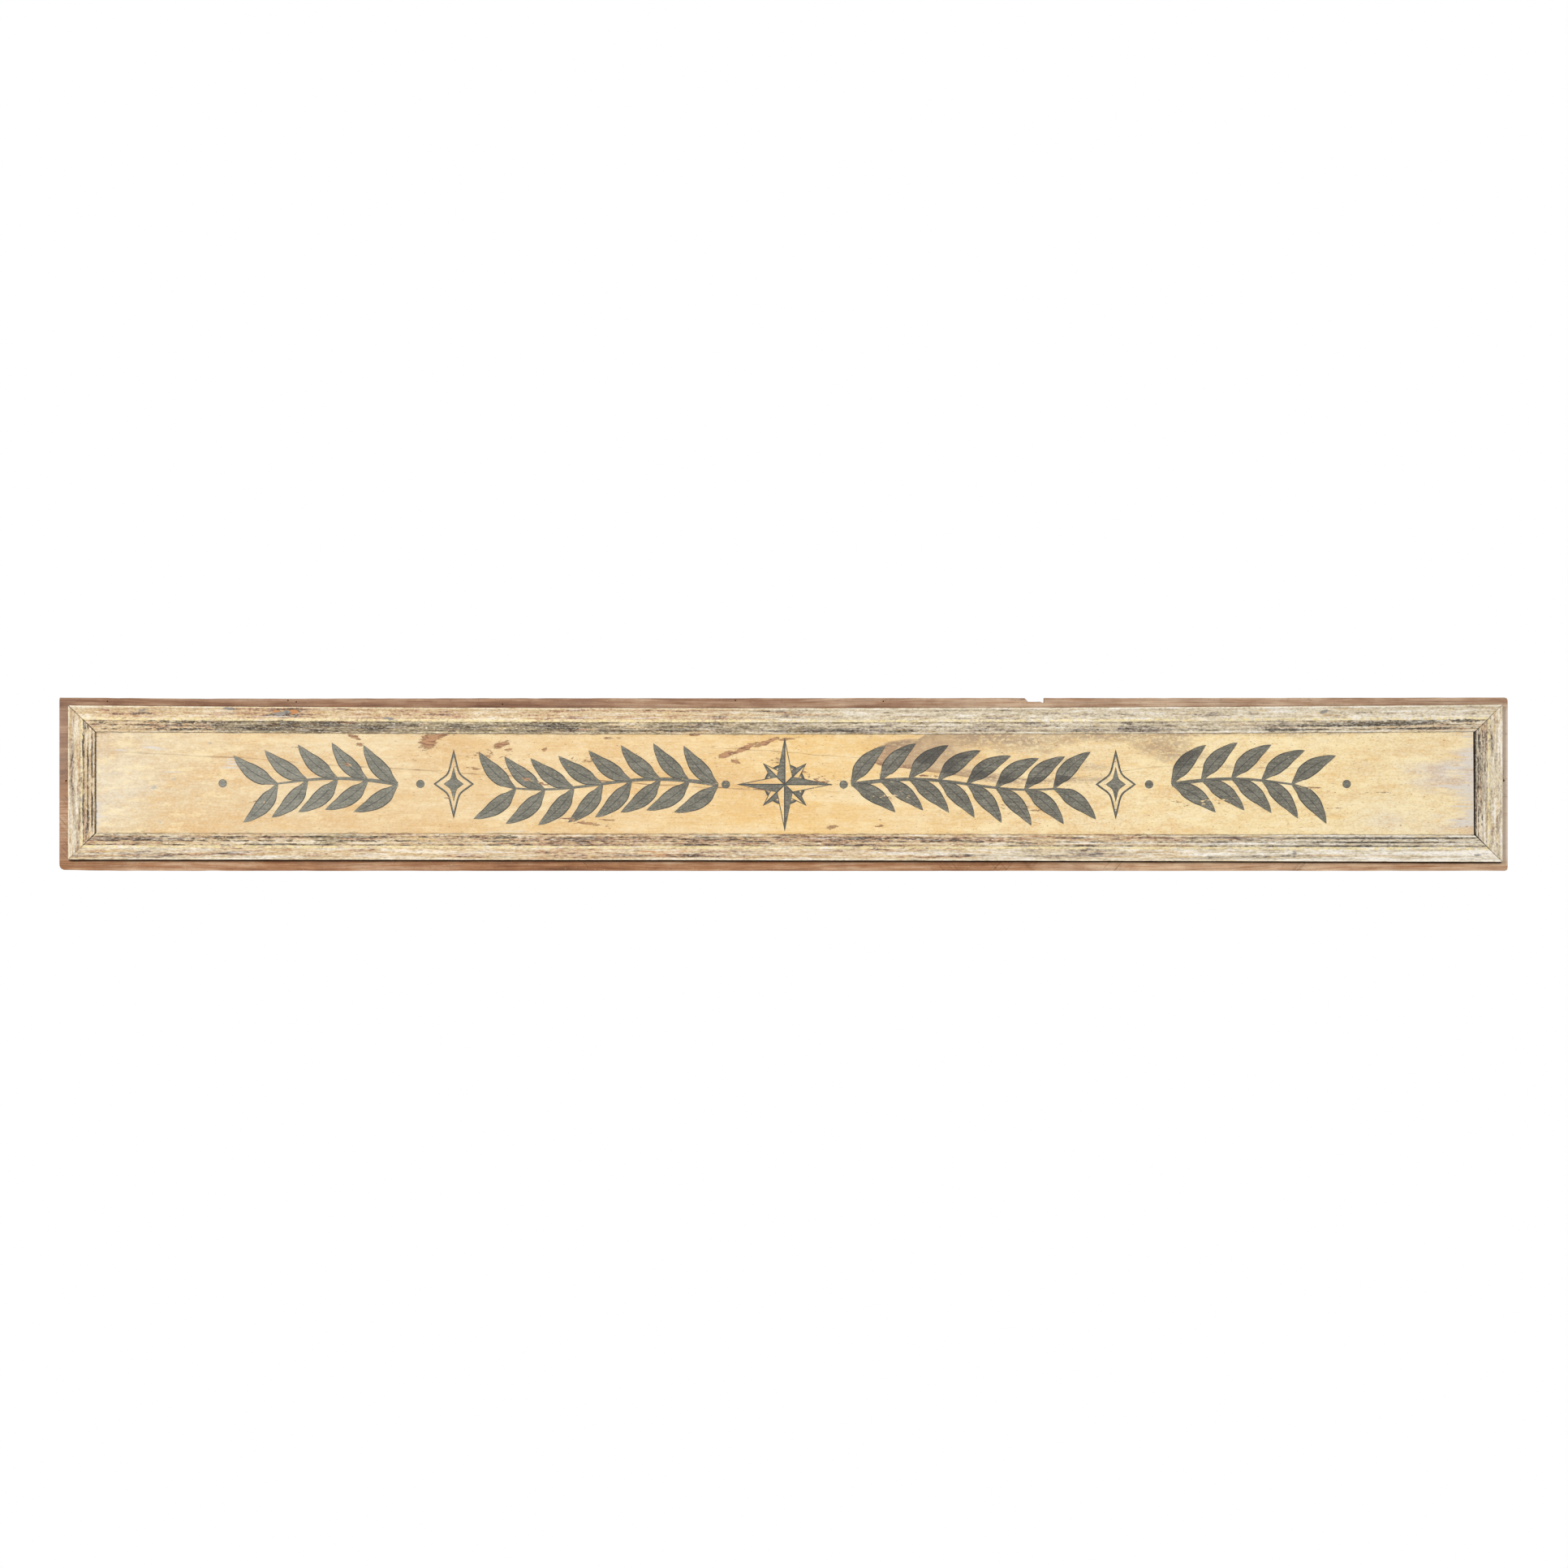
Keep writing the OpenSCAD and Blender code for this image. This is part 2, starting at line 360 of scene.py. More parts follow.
# Turns a colour darker where a field is low and paler where it is high
def mottle(tree, base, field, dark, pale, amount):
    for end, colour in ((0.32, dark), (0.68, pale)):
        share = {"Value": field, "From Min": 0.5, "From Max": end, "To Max": amount}
        base = layColours(tree, base, [(addNode(tree, "ShaderNodeMapRange", share), colour)])
    return base


# Gives a material its colour, and its heights in millimetres as a bump
def finishMaterial(material, base, heights):
    tree = material.node_tree
    shader = tree.nodes["Principled BSDF"]
    bump = {"Height": addUp(tree, 0.0, heights), "Distance": 1 / metre, "Strength": 1.0}
    tree.links.new(addNode(tree, "ShaderNodeBump", bump), shader.inputs["Normal"])
    tree.links.new(base, shader.inputs["Base Color"])
    return material


# Materials. Their patterns are sized in millimetres, at the scale taken for the sign. Fibres, grit, chalk
# and rust are finer than half a millimetre on real wood and steel and would not show, so they are drawn
# 1 to 4 mm coarse.

# Weathered pine, sawn and never painted: brown with fine grey grain, dark knots and the slanting marks
# of a saw, and quite matt

pinePlan = {
    # how pale the wood is along its top and bottom margins: x and tone
    "topTone": [(-1219, 0.48), (-1203, 0.5), (-1196, 0.6), (-1140, 0.56), (-500, 0.57), (-100, 0.7),
                (300, 0.8), (1219, 0.8)],
    "lowTone": [(-1219, 0.48), (-1203, 0.5), (-1196, 0.6), (-800, 0.54), (0, 0.5), (400, 0.56),
                (700, 0.8), (1219, 0.88)],
    "bleached": [(-1219, 0.12), (-1204, 0.12), (-1198, 0.0), (1204, 0.0), (1209, 0.9), (1219, 0.9)],
    # the colours of those tones, from dark to pale
    "topColours": [(0.0, "#3d2a20"), (0.2, "#6b4c3b"), (0.42, "#8a6752"), (0.58, "#9c7860"),
                   (0.78, "#b3947b"), (1.0, "#cdb399")],
    "lowColours": [(0.0, "#472d1d"), (0.2, "#7a543b"), (0.4, "#96694a"), (0.56, "#a77b5a"),
                   (0.78, "#c3a082"), (1.0, "#dcc0a0")],
    "pithBehind": 60.0,  # how far behind the back the middle of the tree lay
    "endRing": 1.9,  # width of a growth ring on the end grain
    "figureRing": 3.0,  # and of one on the back, where the saw cut them at a low angle
    "knotRing": 1.8,
    "knotEdge": 10.0,  # what the field of the knots says at a knot's edge
    "sawMarks": ((50, 7), (-48, 8)),  # slope in degrees, and seed
}


# Growth rings on the sawn ends, and where they show
def endGrain(tree, place, x, y, z):
    depth = addUp(tree, pinePlan["pithBehind"], [(y, 1.0)])
    fromPith = addNode(tree, "ShaderNodeCombineXYZ", {0: depth, 1: multiply(tree, z, 0.6)})
    fromPith = addNode(tree, "ShaderNodeVectorMath", {0: fromPith}, out="Value", operation="LENGTH")
    fromPith = addUp(tree, 0.0, [(fromPith, 1.0), (driftField(tree, place, (9, 9), 15, 2.0), 5.0)])
    ring = addNode(tree, "ShaderNodeMath", {0: fromPith, 1: pinePlan["endRing"]}, operation="PINGPONG")
    ring = addNode(tree, "ShaderNodeMapRange", {"Value": ring, "From Min": 0.9, "From Max": 1.7})
    atEnd = addNode(tree, "ShaderNodeMath", {0: x}, operation="ABSOLUTE")
    atEnd = addNode(tree, "ShaderNodeMath", {0: atEnd, 1: boardHigh[0] - 0.4}, operation="GREATER_THAN")
    return ring, atEnd


# Marks that the saw left in patches of the bottom margin
def sawMarks(tree, place, isTop):
    saw = 0.0
    for slope, seed in pinePlan["sawMarks"]:
        turned = addNode(tree, "ShaderNodeMapping",
                         {"Vector": place, "Rotation": (0, math.radians(slope), 0)})
        strokes = patches(tree, turned, (70, 2.2), seed, 0.36, 0.12, 3.0)
        where = patches(tree, place, (110, 110), seed + 20, 0.36, 0.1, 1.0)
        saw = addUp(tree, saw, [(multiply(tree, strokes, where), 1.0)])
    return addNode(tree, "ShaderNodeMix", {0: isTop, 2: saw, 3: 0.0})


# A painted shadow, with some dirt, along the seam against the moulding, deepest along the bottom, which
# the moulding shades from the light above
def seamShadowAndDirt(tree, place, z, away):
    ragged = driftField(tree, place, (40, 40), 13, 3.0)
    isLow = addNode(tree, "ShaderNodeMapRange", {"Value": z, "From Min": -60.0, "From Max": -120.0})
    reach = addUp(tree, 0.0, [(ragged, 1.4), (isLow, 1.5)])
    fade = addUp(tree, 0.5, [(reach, 1.0), (isLow, 1.8)])
    seam = addNode(tree, "ShaderNodeMapRange", {"Value": away, "From Min": fade, "From Max": reach})
    return multiply(tree, seam, addUp(tree, 0.55, [(isLow, 0.42)]))


def weatheredPine():
    plan = pinePlan
    material, tree, place = startMaterial("weatheredPine", 0.82, 0.25)
    x, y, z = addNode(tree, "ShaderNodeSeparateXYZ", {0: place}, out=None).outputs
    knot, away, shift, rusty = (addNode(tree, "ShaderNodeAttribute", out="Fac", attribute_name=name)
                                for name in ("knot", "awayFromFrame", "grainShift", "rust"))
    height = addNode(tree, "ShaderNodeMath", {0: z, 1: shift}, operation="ADD")
    grain = addNode(tree, "ShaderNodeCombineXYZ", {0: x, 1: y, 2: height})
    streaks = driftField(tree, grain, (150, 5), 1, 6.0, 0.62)
    fine = driftField(tree, grain, (50, 1.3), 2, 3.0, 0.6)  # fibres, coarse enough to show
    boards = driftField(tree, grain, (210, 26), 3, 3.0)
    blotches = driftField(tree, place, (34, 20), 14, 4.0, 0.6)
    tone = addUp(tree, -1.5, [(streaks, 1.0), (boards, 0.9), (fine, 0.6), (blotches, 0.5)])
    colours = []
    for side in ("low", "top"):
        shade = addUp(tree, tone, [(alongSign(tree, x, plan[side + "Tone"]), 1.0)])
        ramp = addNode(tree, "ShaderNodeValToRGB", {"Fac": shade}, out=None)
        colours.append(setStops(ramp, plan[side + "Colours"]))
    besideFrame = addNode(tree, "ShaderNodeMath", {0: z}, operation="ABSOLUTE")
    besideFrame = addNode(tree, "ShaderNodeMapRange",
                          {"Value": besideFrame, "From Min": 134.0, "From Max": 122.0})
    isTop = addNode(tree, "ShaderNodeMapRange", {"Value": z, "From Min": -20.0, "From Max": 20.0})
    isBack = addNode(tree, "ShaderNodeMapRange", {"Value": y, "From Min": -12.0, "From Max": -8.0})
    isTop = addNode(tree, "ShaderNodeMix", {0: isBack, 2: isTop, 3: 0.7})
    onFront = addUp(tree, 1.0, [(isBack, -1.0)])
    # the flat-sawn figure of the back
    figure = addUp(tree, 0.0, [(driftField(tree, grain, (640, 70), 16, 2.0, 0.4), 120.0), (fine, 2.0)])
    figure = addNode(tree, "ShaderNodeMath", {0: figure, 1: plan["figureRing"]}, operation="PINGPONG")
    figure = addNode(tree, "ShaderNodeMapRange", {"Value": figure, "From Min": 1.2, "From Max": 2.9})
    endRing, atEnd = endGrain(tree, place, x, y, z)
    lines = patches(tree, grain, (170, 2.0), 6, 0.2, 0.06)
    saw = sawMarks(tree, place, isTop)
    specks = patches(tree, place, (5, 2.2), 10, 0.07, 0.02, 3.0)
    knotRing = addNode(tree, "ShaderNodeMath", {0: knot, 1: plan["knotRing"]}, operation="PINGPONG")
    knotRing = addNode(tree, "ShaderNodeMapRange", {"Value": knotRing, "From Min": 0.8, "From Max": 1.7})
    nearKnot = addNode(tree, "ShaderNodeMapRange", {
        "Value": knot, "From Min": plan["knotEdge"] + 3, "From Max": plan["knotEdge"] - 1,
        "To Max": 0.8})
    base = layColours(tree, colours[0], [
        (isTop, colours[1]),
        (patches(tree, grain, (150, 12), 4, 0.4, 0.2, 4.0), 0.3, "#9b8878"),  # greyer places
        (alongSign(tree, x, plan["bleached"]), besideFrame, onFront, "#e2d0bf"),
        (figure, isBack, 0.5, "#7f5a43"),
        (patches(tree, grain, (120, 6), 5, 0.3, 0.16), 0.35, "#ba8254"),  # warmer ones
        (lines, 0.45, "#4c3326"),
        (saw, 0.6, "#6f4d37"),
        (patches(tree, place, (24, 8), 9, 0.18, 0.1), 0.35, "#57453a"),  # stains
        (atEnd, 0.8, "#a08468"),
        (atEnd, endRing, 0.6, "#6e513c"),
        (nearKnot, "#6b4630"),
        (nearKnot, knotRing, 0.7, "#482e20"),
        (patches(tree, place, (3, 1.6), 11, 0.2, 0.06, 3.0), 0.4, "#4a382d"),  # dirt in the pores
        (specks, 0.8, "#e3d2b0"),
        (patches(tree, place, (3, 3), 12, rusty, 0.1), 0.85, "#a4592a"),
        # painted shadow and dirt along the seam against the moulding
        (seamShadowAndDirt(tree, place, z, away), "#2e1508"),
    ])
    heights = [(tone, 0.4), (fine, 0.2), (lines, -0.2), (saw, -0.25), (specks, 0.15)]
    return finishMaterial(material, base, heights)


# Cream oil paint on moulded pine: chalky and scaling off in flakes, with grey and pinkish wood under it
# and black dirt in the grooves. One field says how much paint is left, and three ramps give its colours.

reedEdges = (24.9, 31.95, 39.0)  # where the three reeds start, from the outer edge

paintLeft = {
    # In warm and cool, the dark stop at 0.42 is a painted shadow along the edge where the paint has
    # flaked
    "warm": [(0.0, "#453429"), (0.1, "#6b5040"), (0.18, "#8c6a52"), (0.26, "#b18566"), (0.34, "#cd9f7c"),
             (0.4, "#d9af8c"), (0.42, "#ab8a66"), (0.45, "#d6b987"), (0.6, "#dcbe92"), (0.8, "#e9d2aa"),
             (1.0, "#f4e6d0")],
    "cool": [(0.0, "#38322d"), (0.1, "#5c5249"), (0.18, "#7b6f64"), (0.26, "#988b7d"), (0.34, "#b3a697"),
             (0.4, "#c3b6a6"), (0.42, "#95856d"), (0.45, "#cebe9f"), (0.6, "#dacbad"), (0.8, "#e9dec8"),
             (1.0, "#f7f1e6")],
    "mould": [(0.0, "#2a241e"), (0.12, "#453b2f"), (0.22, "#625542"), (0.36, "#83745b"),
              (0.56, "#998a6c"), (0.68, "#ad9d7c"), (0.8, "#d2bd98"), (1.0, "#efe2c8")],
}

# What lies about on the paint: size of its flecks along and across, their share of the cove and of the
# reeds, how far they keep out of the cool parts, their colour and how well they cover
paintFlecks = [
    ((60, 4.0), 0.22, 0.12, 0.0, "#f0e5d9", 0.8),  # chalky white paint
    ((48, 4.4), 0.24, 0.22, 1.0, "#cb9a7c", 0.62),  # pinkish wood through thin paint
    ((34, 3.2), 0.1, 0.28, 0.0, "#8b7f75", 0.5),  # grey dirt
    ((44, 4.6), 0.22, 0.2, 0.0, "#e6c27c", 0.55),  # the yellow of an older coat
    ((8, 3.6), 0.16, 0.22, 0.0, "#f9edd2", 0.85),  # pale crumbs
    ((7, 3.2), 0.05, 0.26, 0.0, "#4f4539", 0.7),  # dark crumbs
]


# In the grooves between the reeds: a thin brown line of painted shade, and broken dashes of dirt that
# widen to black crumbs where there is much
def grooveShadeAndDirt(tree, grain, across, onReeds, much, seed):
    pitch = reedEdges[1] - reedEdges[0]
    away = addNode(tree, "ShaderNodeMath", {0: across, 1: reedEdges[0]}, operation="SUBTRACT")
    away = addNode(tree, "ShaderNodeMath", {0: away, 1: pitch / 2}, operation="PINGPONG")
    wobble = driftField(tree, grain, (9, 3), seed + 9, 3.0, 0.7)
    away = addUp(tree, -0.75, [(away, 1.0), (wobble, 1.5)])
    grooveShade = addNode(tree, "ShaderNodeMapRange", {"Value": away, "From Min": 1.5, "From Max": 0.4})
    grooveShade = multiply(tree, grooveShade, onReeds, patches(tree, grain, (40, 90), seed + 30, 0.6, 0.2, 3.0))
    wide = addUp(tree, 0.9, [(multiply(tree, much, much), 1.9)])
    groove = addNode(tree, "ShaderNodeMapRange",
                     {"Value": away, "From Min": wide, "From Max": multiply(tree, wide, 0.4)})
    share = addUp(tree, 0.04, [(much, 0.72)])
    dashes = patches(tree, grain, (15, 6), seed + 8, share, 0.07, 6.0, 0.75)
    return grooveShade, multiply(tree, groove, dashes, onReeds)


# Dark lines where the mitres have opened, most on their inner half
def mitreLines(tree, across, mitres):
    toMitres = addNode(tree, "ShaderNodeAttribute", out="Vector", attribute_name="toMitres")
    toMitres = addNode(tree, "ShaderNodeSeparateXYZ", {0: toMitres}, out=None)
    dark = 0.0
    for away, (outer, innerHalf) in zip(toMitres.outputs, mitres):
        line = addNode(tree, "ShaderNodeMapRange", {"Value": away, "From Min": 1.7, "From Max": 0.6})
        depth = addNode(tree, "ShaderNodeMapRange", {
            "Value": across, "From Min": 17.0, "From Max": 27.0, "To Min": outer, "To Max": innerHalf})
        dark = addUp(tree, dark, [(multiply(tree, line, depth), 1.0)])
    return dark


def scalingCreamPaint(name, plan):
    material, tree, place = startMaterial(name, 0.74, 0.3)
    axes = addNode(tree, "ShaderNodeSeparateXYZ", {0: place}, out=None)
    along = axes.outputs[plan["axis"]]
    across, stain, bareSpot, sooty = (addNode(tree, "ShaderNodeAttribute", out="Fac", attribute_name=name)
                                      for name in ("across", "stain", "bareSpot", "soot"))
    seed = plan["seed"]
    drawn = multiply(tree, along, 1 / plan["stretch"])
    grain = addNode(tree, "ShaderNodeCombineXYZ", {0: drawn, 1: across, 2: axes.outputs[1]})
    here = {key: alongSign(tree, along, plan[key])
            for key in ("paint", "cool", "reedCool", "mould", "lines")}
    # stops across the section: paint loss, and painted light and shade that follow the profile
    paintAndShadeBand = alongSign(tree, across, plan["bands"])
    onReeds = addNode(tree, "ShaderNodeMapRange", {"Value": across, "From Min": 23.6, "From Max": 24.4})
    grooveShade, groove = grooveShadeAndDirt(tree, grain, across, onReeds, here["lines"], seed)
    innerStart, innerShadowDepth = plan["innerLine"]
    inner = addNode(tree, "ShaderNodeMapRange",
                    {"Value": across, "From Min": innerStart, "From Max": innerStart + 0.7})
    # painted highlight: paler paint along the fillet's outer edge, where the arris catches the light
    edge = addNode(tree, "ShaderNodeMapRange", {"Value": across, "From Min": 2.0, "From Max": 1.0})
    # the narrow flat before the reeds: its yellow paint, and a painted highlight where it catches the
    # light
    flat = addNode(tree, "ShaderNodeMath", {0: across, 1: 22.0, 2: 2.3}, operation="COMPARE")
    flakes = driftField(tree, grain, (34, 4.8), seed + 1, 7.0, 0.66)
    islands = driftField(tree, grain, (100, 9), seed + 2, 3.0)
    crumbs = driftField(tree, grain, (7, 3.6), seed + 3, 4.0, 0.7)
    uneven = plan["uneven"]
    left = addUp(tree, -0.52 - 2.4 * uneven, [
        (flakes, 1.8 * uneven), (islands, 1.6 * uneven), (crumbs, 1.4 * uneven), (here["paint"], 1.0),
        (paintAndShadeBand, 1.0), (edge, 0.1), (groove, -0.62), (bareSpot, -0.3), (stain, -0.25),
    ])
    warm, cool, mouldy = (
        setStops(addNode(tree, "ShaderNodeValToRGB", {"Fac": left}, out=None), paintLeft[key])
        for key in ("warm", "cool", "mould"))
    coolShare = addNode(tree, "ShaderNodeMix", {0: onReeds, 2: here["cool"], 3: here["reedCool"]})
    layers = [
        (patches(tree, grain, (90, 5), seed + 4, coolShare, 0.12, 7.0, 0.66), cool),
        (patches(tree, grain, (60, 9), seed + 5, here["mould"], 0.1, 6.0), onReeds, mouldy),
    ]
    for i, (size, onCove, onReed, keepOut, colour, cover) in enumerate(paintFlecks):
        share = addNode(tree, "ShaderNodeMix", {0: onReeds, 2: onCove, 3: onReed})
        share = multiply(tree, share, addUp(tree, 1.0, [(coolShare, -keepOut)]))
        layers.append((patches(tree, grain, size, seed + 12 + i, share, 0.035), cover, colour))
    beads = patches(tree, grain, (5, 5), seed + 6, 0.7, 0.1, 3.0)
    soot = patches(tree, grain, (7, 2.6), seed + 31, sooty, 0.04, 6.0, 0.72)
    hue = driftField(tree, grain, (24, 3.4), seed + 7, 4.0, 0.65)
    grit = driftField(tree, grain, (3.8, 2.2), seed + 10, 2.0)  # coarse enough to show
    base = layColours(tree, warm, layers + [
        # yellow crumbs and painted highlight on the flat
        (flat, beads, 0.9, "#f6e2a8"),
        # painted highlight along the outer edge
        (edge, beads, 0.8, "#f5e6c2"),
        # painted shade: a thin brown line along the grooves
        (grooveShade, 0.35, "#7d6049"),
        (groove, 0.9, "#2b2521"),
        (soot, 0.9, "#28231f"),
        # painted shadow along the inner edge, beside the panel
        (inner, innerShadowDepth, "#35291f"),
        (mitreLines(tree, across, plan["mitres"]), "#33271f"),
    ])
    base = mottle(tree, base, hue, "#9c8468", "#f3e6d0", 0.34)
    base = mottle(tree, base, grit, "#766553", "#fbf0dc", 0.36)
    beyond = addUp(tree, -1.0, [(stain, 1.0)])  # above 1 a stain turns black
    base = layColours(tree, base, [
        (patches(tree, grain, (20, 4.4), seed + 32, bareSpot, 0.08, 6.0), "#c98f60"),
        (patches(tree, grain, (8, 4), seed + 11, stain, 0.1), "#98928c"),
        (patches(tree, grain, (5, 3), seed + 33, beyond, 0.1), "#2e2a28"),
    ])
    thickness = addNode(tree, "ShaderNodeClamp", {0: left})
    return finishMaterial(material, base, [(thickness, 0.9), (hue, 0.25), (grit, 0.2)])


# Yellow ochre oil paint on a planed pine board: dry, checked along the grain and flaked to brown wood

ochrePlan = {
    # along the panel: its colour, how coarsely it has broken up, how many grains of wood show through,
    # how flecked it is, and how much of its cracks shows
    "colours": [(-1200, "#d6c6ae"), (-1110, "#d8c29e"), (-1000, "#dcc195"), (-650, "#dfc08f"),
                (-250, "#e4c188"), (50, "#ebc47e"), (400, "#eacb94"), (700, "#f3daa2"), (950, "#f5dda6"),
                (1060, "#f0dbac"), (1150, "#d3c5b8")],
    "coarse": [(-1160, 0.5), (-700, 0.34), (200, 0.36), (420, 0.6), (1163, 0.62)],
    "grains": [(-1160, 0.06), (-600, 0.12), (100, 0.16), (280, 0.34), (900, 0.26), (1163, 0.34)],
    "flecked": [(-1160, 0.35), (-800, 0.5), (-500, 1.0), (1160, 1.0)],
    "cracked": [(-1160, 0.3), (-980, 0.45), (-900, 1.0), (1160, 1.0)],
    "cracks": ((2.4, 0.85), (1.5, 0.6), (1.8, 0.55)),  # how wide and how dark each of the three is
}


# The bare brown lens: dark along its sharp lower edge, and greyer along its upper one
def lensLayers(tree, place, x):
    lens = addNode(tree, "ShaderNodeAttribute", out="Vector", attribute_name="lens")
    above, below, fade = addNode(tree, "ShaderNodeSeparateXYZ", {0: lens}, out=None).outputs
    wobble = driftField(tree, place, (14, 6), 13, 5.0)
    above = addUp(tree, -1.5, [(above, 1.0), (wobble, 3.0)])
    below = addUp(tree, -3.5, [(below, 1.0), (wobble, 7.0)])
    clearOfLow, clearOfTop, lowEdge, topEdge, towardsTip = (
        addNode(tree, "ShaderNodeMapRange", {"Value": value, "From Min": start, "From Max": end})
        for value, start, end in ((above, 0.0, 0.9), (below, -1.0, 3.0), (above, 11.0, 0.5),
                                  (below, 17.0, 2.0), (x, 250.0, 170.0)))
    inside = multiply(tree, clearOfLow, fade, clearOfTop)
    slanted = addNode(tree, "ShaderNodeMapping", {"Vector": place, "Rotation": (0, math.radians(-9), 0)})
    return [
        (inside, 0.9, "#b99c7c"),
        (inside, towardsTip, 0.45, "#a67c5c"),
        (inside, patches(tree, slanted, (60, 3.6), 19, 0.42, 0.2), 0.5, "#94745a"),
        (inside, topEdge, 0.6, "#85715f"),
        (inside, lowEdge, 0.9, "#8c664c"),
        (inside, patches(tree, place, (9, 3.4), 14, 0.42, 0.05, 6.0, 0.7), 0.5, "#dcc499"),
    ]


# The panel's colour, which also shows through the black paint, and the heights for its bump
def panelLayers(tree, place):
    plan = ochrePlan
    x = addNode(tree, "ShaderNodeSeparateXYZ", {0: place})
    chipShare, veiled, wornShare = (addNode(tree, "ShaderNodeAttribute", out="Fac", attribute_name=name)
                                    for name in ("chip", "veil", "worn"))
    drift = driftField(tree, place, (200, 60), 1, 3.0)
    wandering = addUp(tree, -250.0, [(x, 1.0), (drift, 500.0)])
    base = alongSign(tree, wandering, plan["colours"])
    coarse, grainsHere, flecked = (alongSign(tree, x, plan[key])
                                   for key in ("coarse", "grains", "flecked"))
    cloud = driftField(tree, place, (150, 38), 2, 4.0)
    cells = driftField(tree, place, (20, 8), 3, 6.0, 0.72)
    grit = driftField(tree, place, (4.2, 2.4), 4, 3.0, 0.7)  # coarse enough to show
    lines = driftField(tree, place, (60, 1.7), 5, 5.0, 0.7)
    for field, dark, pale, amount in (
        (cloud, "#d8a968", "#f1e2bd", 0.5),
        (cells, "#e0b880", "#f4e7c9", multiply(tree, coarse, 0.85)),
        (grit, "#b48f64", "#f7ecd4", multiply(tree, coarse, 0.6)),
        (lines, "#b8976c", "#f6e9d0", 0.17),
    ):
        base = mottle(tree, base, field, dark, pale, amount)
    grains = patches(tree, place, (9, 1.9), 8, grainsHere, 0.05, 6.0, 0.7)
    grainPlaces = patches(tree, place, (80, 30), 24, 0.55, 0.25, 4.0)
    thick = patches(tree, place, (44, 15), 25, 0.42, 0.05, 8.0, 0.72)
    rich = patches(tree, place, (60, 16), 26, 0.34, 0.06, 8.0, 0.72)
    chips = driftField(tree, place, (10, 3.6), 11, 7.0, 0.74)
    chip = covering(tree, chips, chipShare, 0.025)
    # a painted shadow: a dark ring along the edges of the chips
    chipEdgeShadow = covering(tree, chips, addUp(tree, 0.0, [(chipShare, 1.3)]), 0.025)
    # the grey veil beside the lens, darkest at its tide line and broken by patches of sound paint
    veil = covering(tree, driftField(tree, place, (80, 30), 16, 4.0, 0.5), veiled, 0.34)
    dry = addUp(tree, 1.0, [(veil, -1.0)])
    sound = addUp(tree, 1.0, [(patches(tree, place, (9, 4.4), 18, 0.5, 0.05, 6.0, 0.7), -0.72)])
    worn = patches(tree, place, (46, 3.6), 17, wornShare, 0.1, 6.0, 0.68)
    colour = layColours(tree, base, [
        (rich, coarse, 0.7, "#e8bf7c"),
        (thick, coarse, 0.85, "#f8e6b8"),
        (worn, 0.85, "#ccc1b5"),
        (worn, grit, 0.8, "#ebe5da"),
        (veil, sound, 0.95, "#a88f76"),
        (veil, dry, sound, 0.6, "#9a8069"),
        *lensLayers(tree, place, x),
        (grains, grainPlaces, 0.55, "#9d8261"),
        # painted shadow along the chips' edges
        (chipEdgeShadow, 0.55, "#7d5a43"),
        (chip, "#b98c66"),
        (chip, patches(tree, place, (15, 3.2), 12, 0.5, 0.06), 0.8, "#815a45"),
        (patches(tree, place, (6, 2.4), 9, 0.08, 0.02, 3.0), flecked, 0.85, "#84604a"),
        (patches(tree, place, (26, 1.8), 10, 0.12, 0.03), flecked, 0.65, "#9a775a"),
    ])
    return colour, [(chip, -0.22), (cells, 0.15), (lines, 0.2), (grit, 0.1), (worn, -0.08)]


def flakingOchrePaint():
    material, tree, place = startMaterial("flakingOchrePaint", 0.64, 0.35)
    base, heights = panelLayers(tree, place)
    cracks = addNode(tree, "ShaderNodeAttribute", out="Vector", attribute_name="cracks")
    cracks = addNode(tree, "ShaderNodeSeparateXYZ", {0: cracks}, out=None)
    ragged = driftField(tree, place, (24, 24), 20)
    x = addNode(tree, "ShaderNodeSeparateXYZ", {0: place})
    broken = multiply(tree, patches(tree, place, (70, 70), 23, 0.8, 0.2, 3.0),
                      alongSign(tree, x, ochrePlan["cracked"]))
    layers = []
    for output, (width, dark) in zip(cracks.outputs, ochrePlan["cracks"]):
        away = addNode(tree, "ShaderNodeMath", {0: output}, operation="ABSOLUTE")
        reach = addUp(tree, 0.4 - width * 0.6, [(ragged, width * 2)])
        mask = addNode(tree, "ShaderNodeMapRange",
                       {"Value": away, "From Min": reach, "From Max": 0.15, "To Max": dark})
        mask = multiply(tree, mask, broken)
        layers.append((mask, "#7a5840"))
        heights.append((mask, -0.5))
    for name, size, seed, soft, cover, colour in (("seam", (18, 5), 21, 0.12, 0.55, "#7a6249"),
                                                  ("nailSpot", (4, 4), 22, 0.1, 0.6, "#a3a8a2")):
        share = addNode(tree, "ShaderNodeAttribute", out="Fac", attribute_name=name)
        layers.append((patches(tree, place, size, seed, share, soft), cover, colour))
    return finishMaterial(material, layColours(tree, base, layers), heights)


# Black sign paint gone grey: darker where the brush left a heavy edge, specked where it has chalked

blackPlan = {
    "colours": [(-960, "#8b887c"), (-700, "#7a776a"), (-300, "#6d695c"), (200, "#666155"),
                (960, "#6d695d")],  # along the sign
}


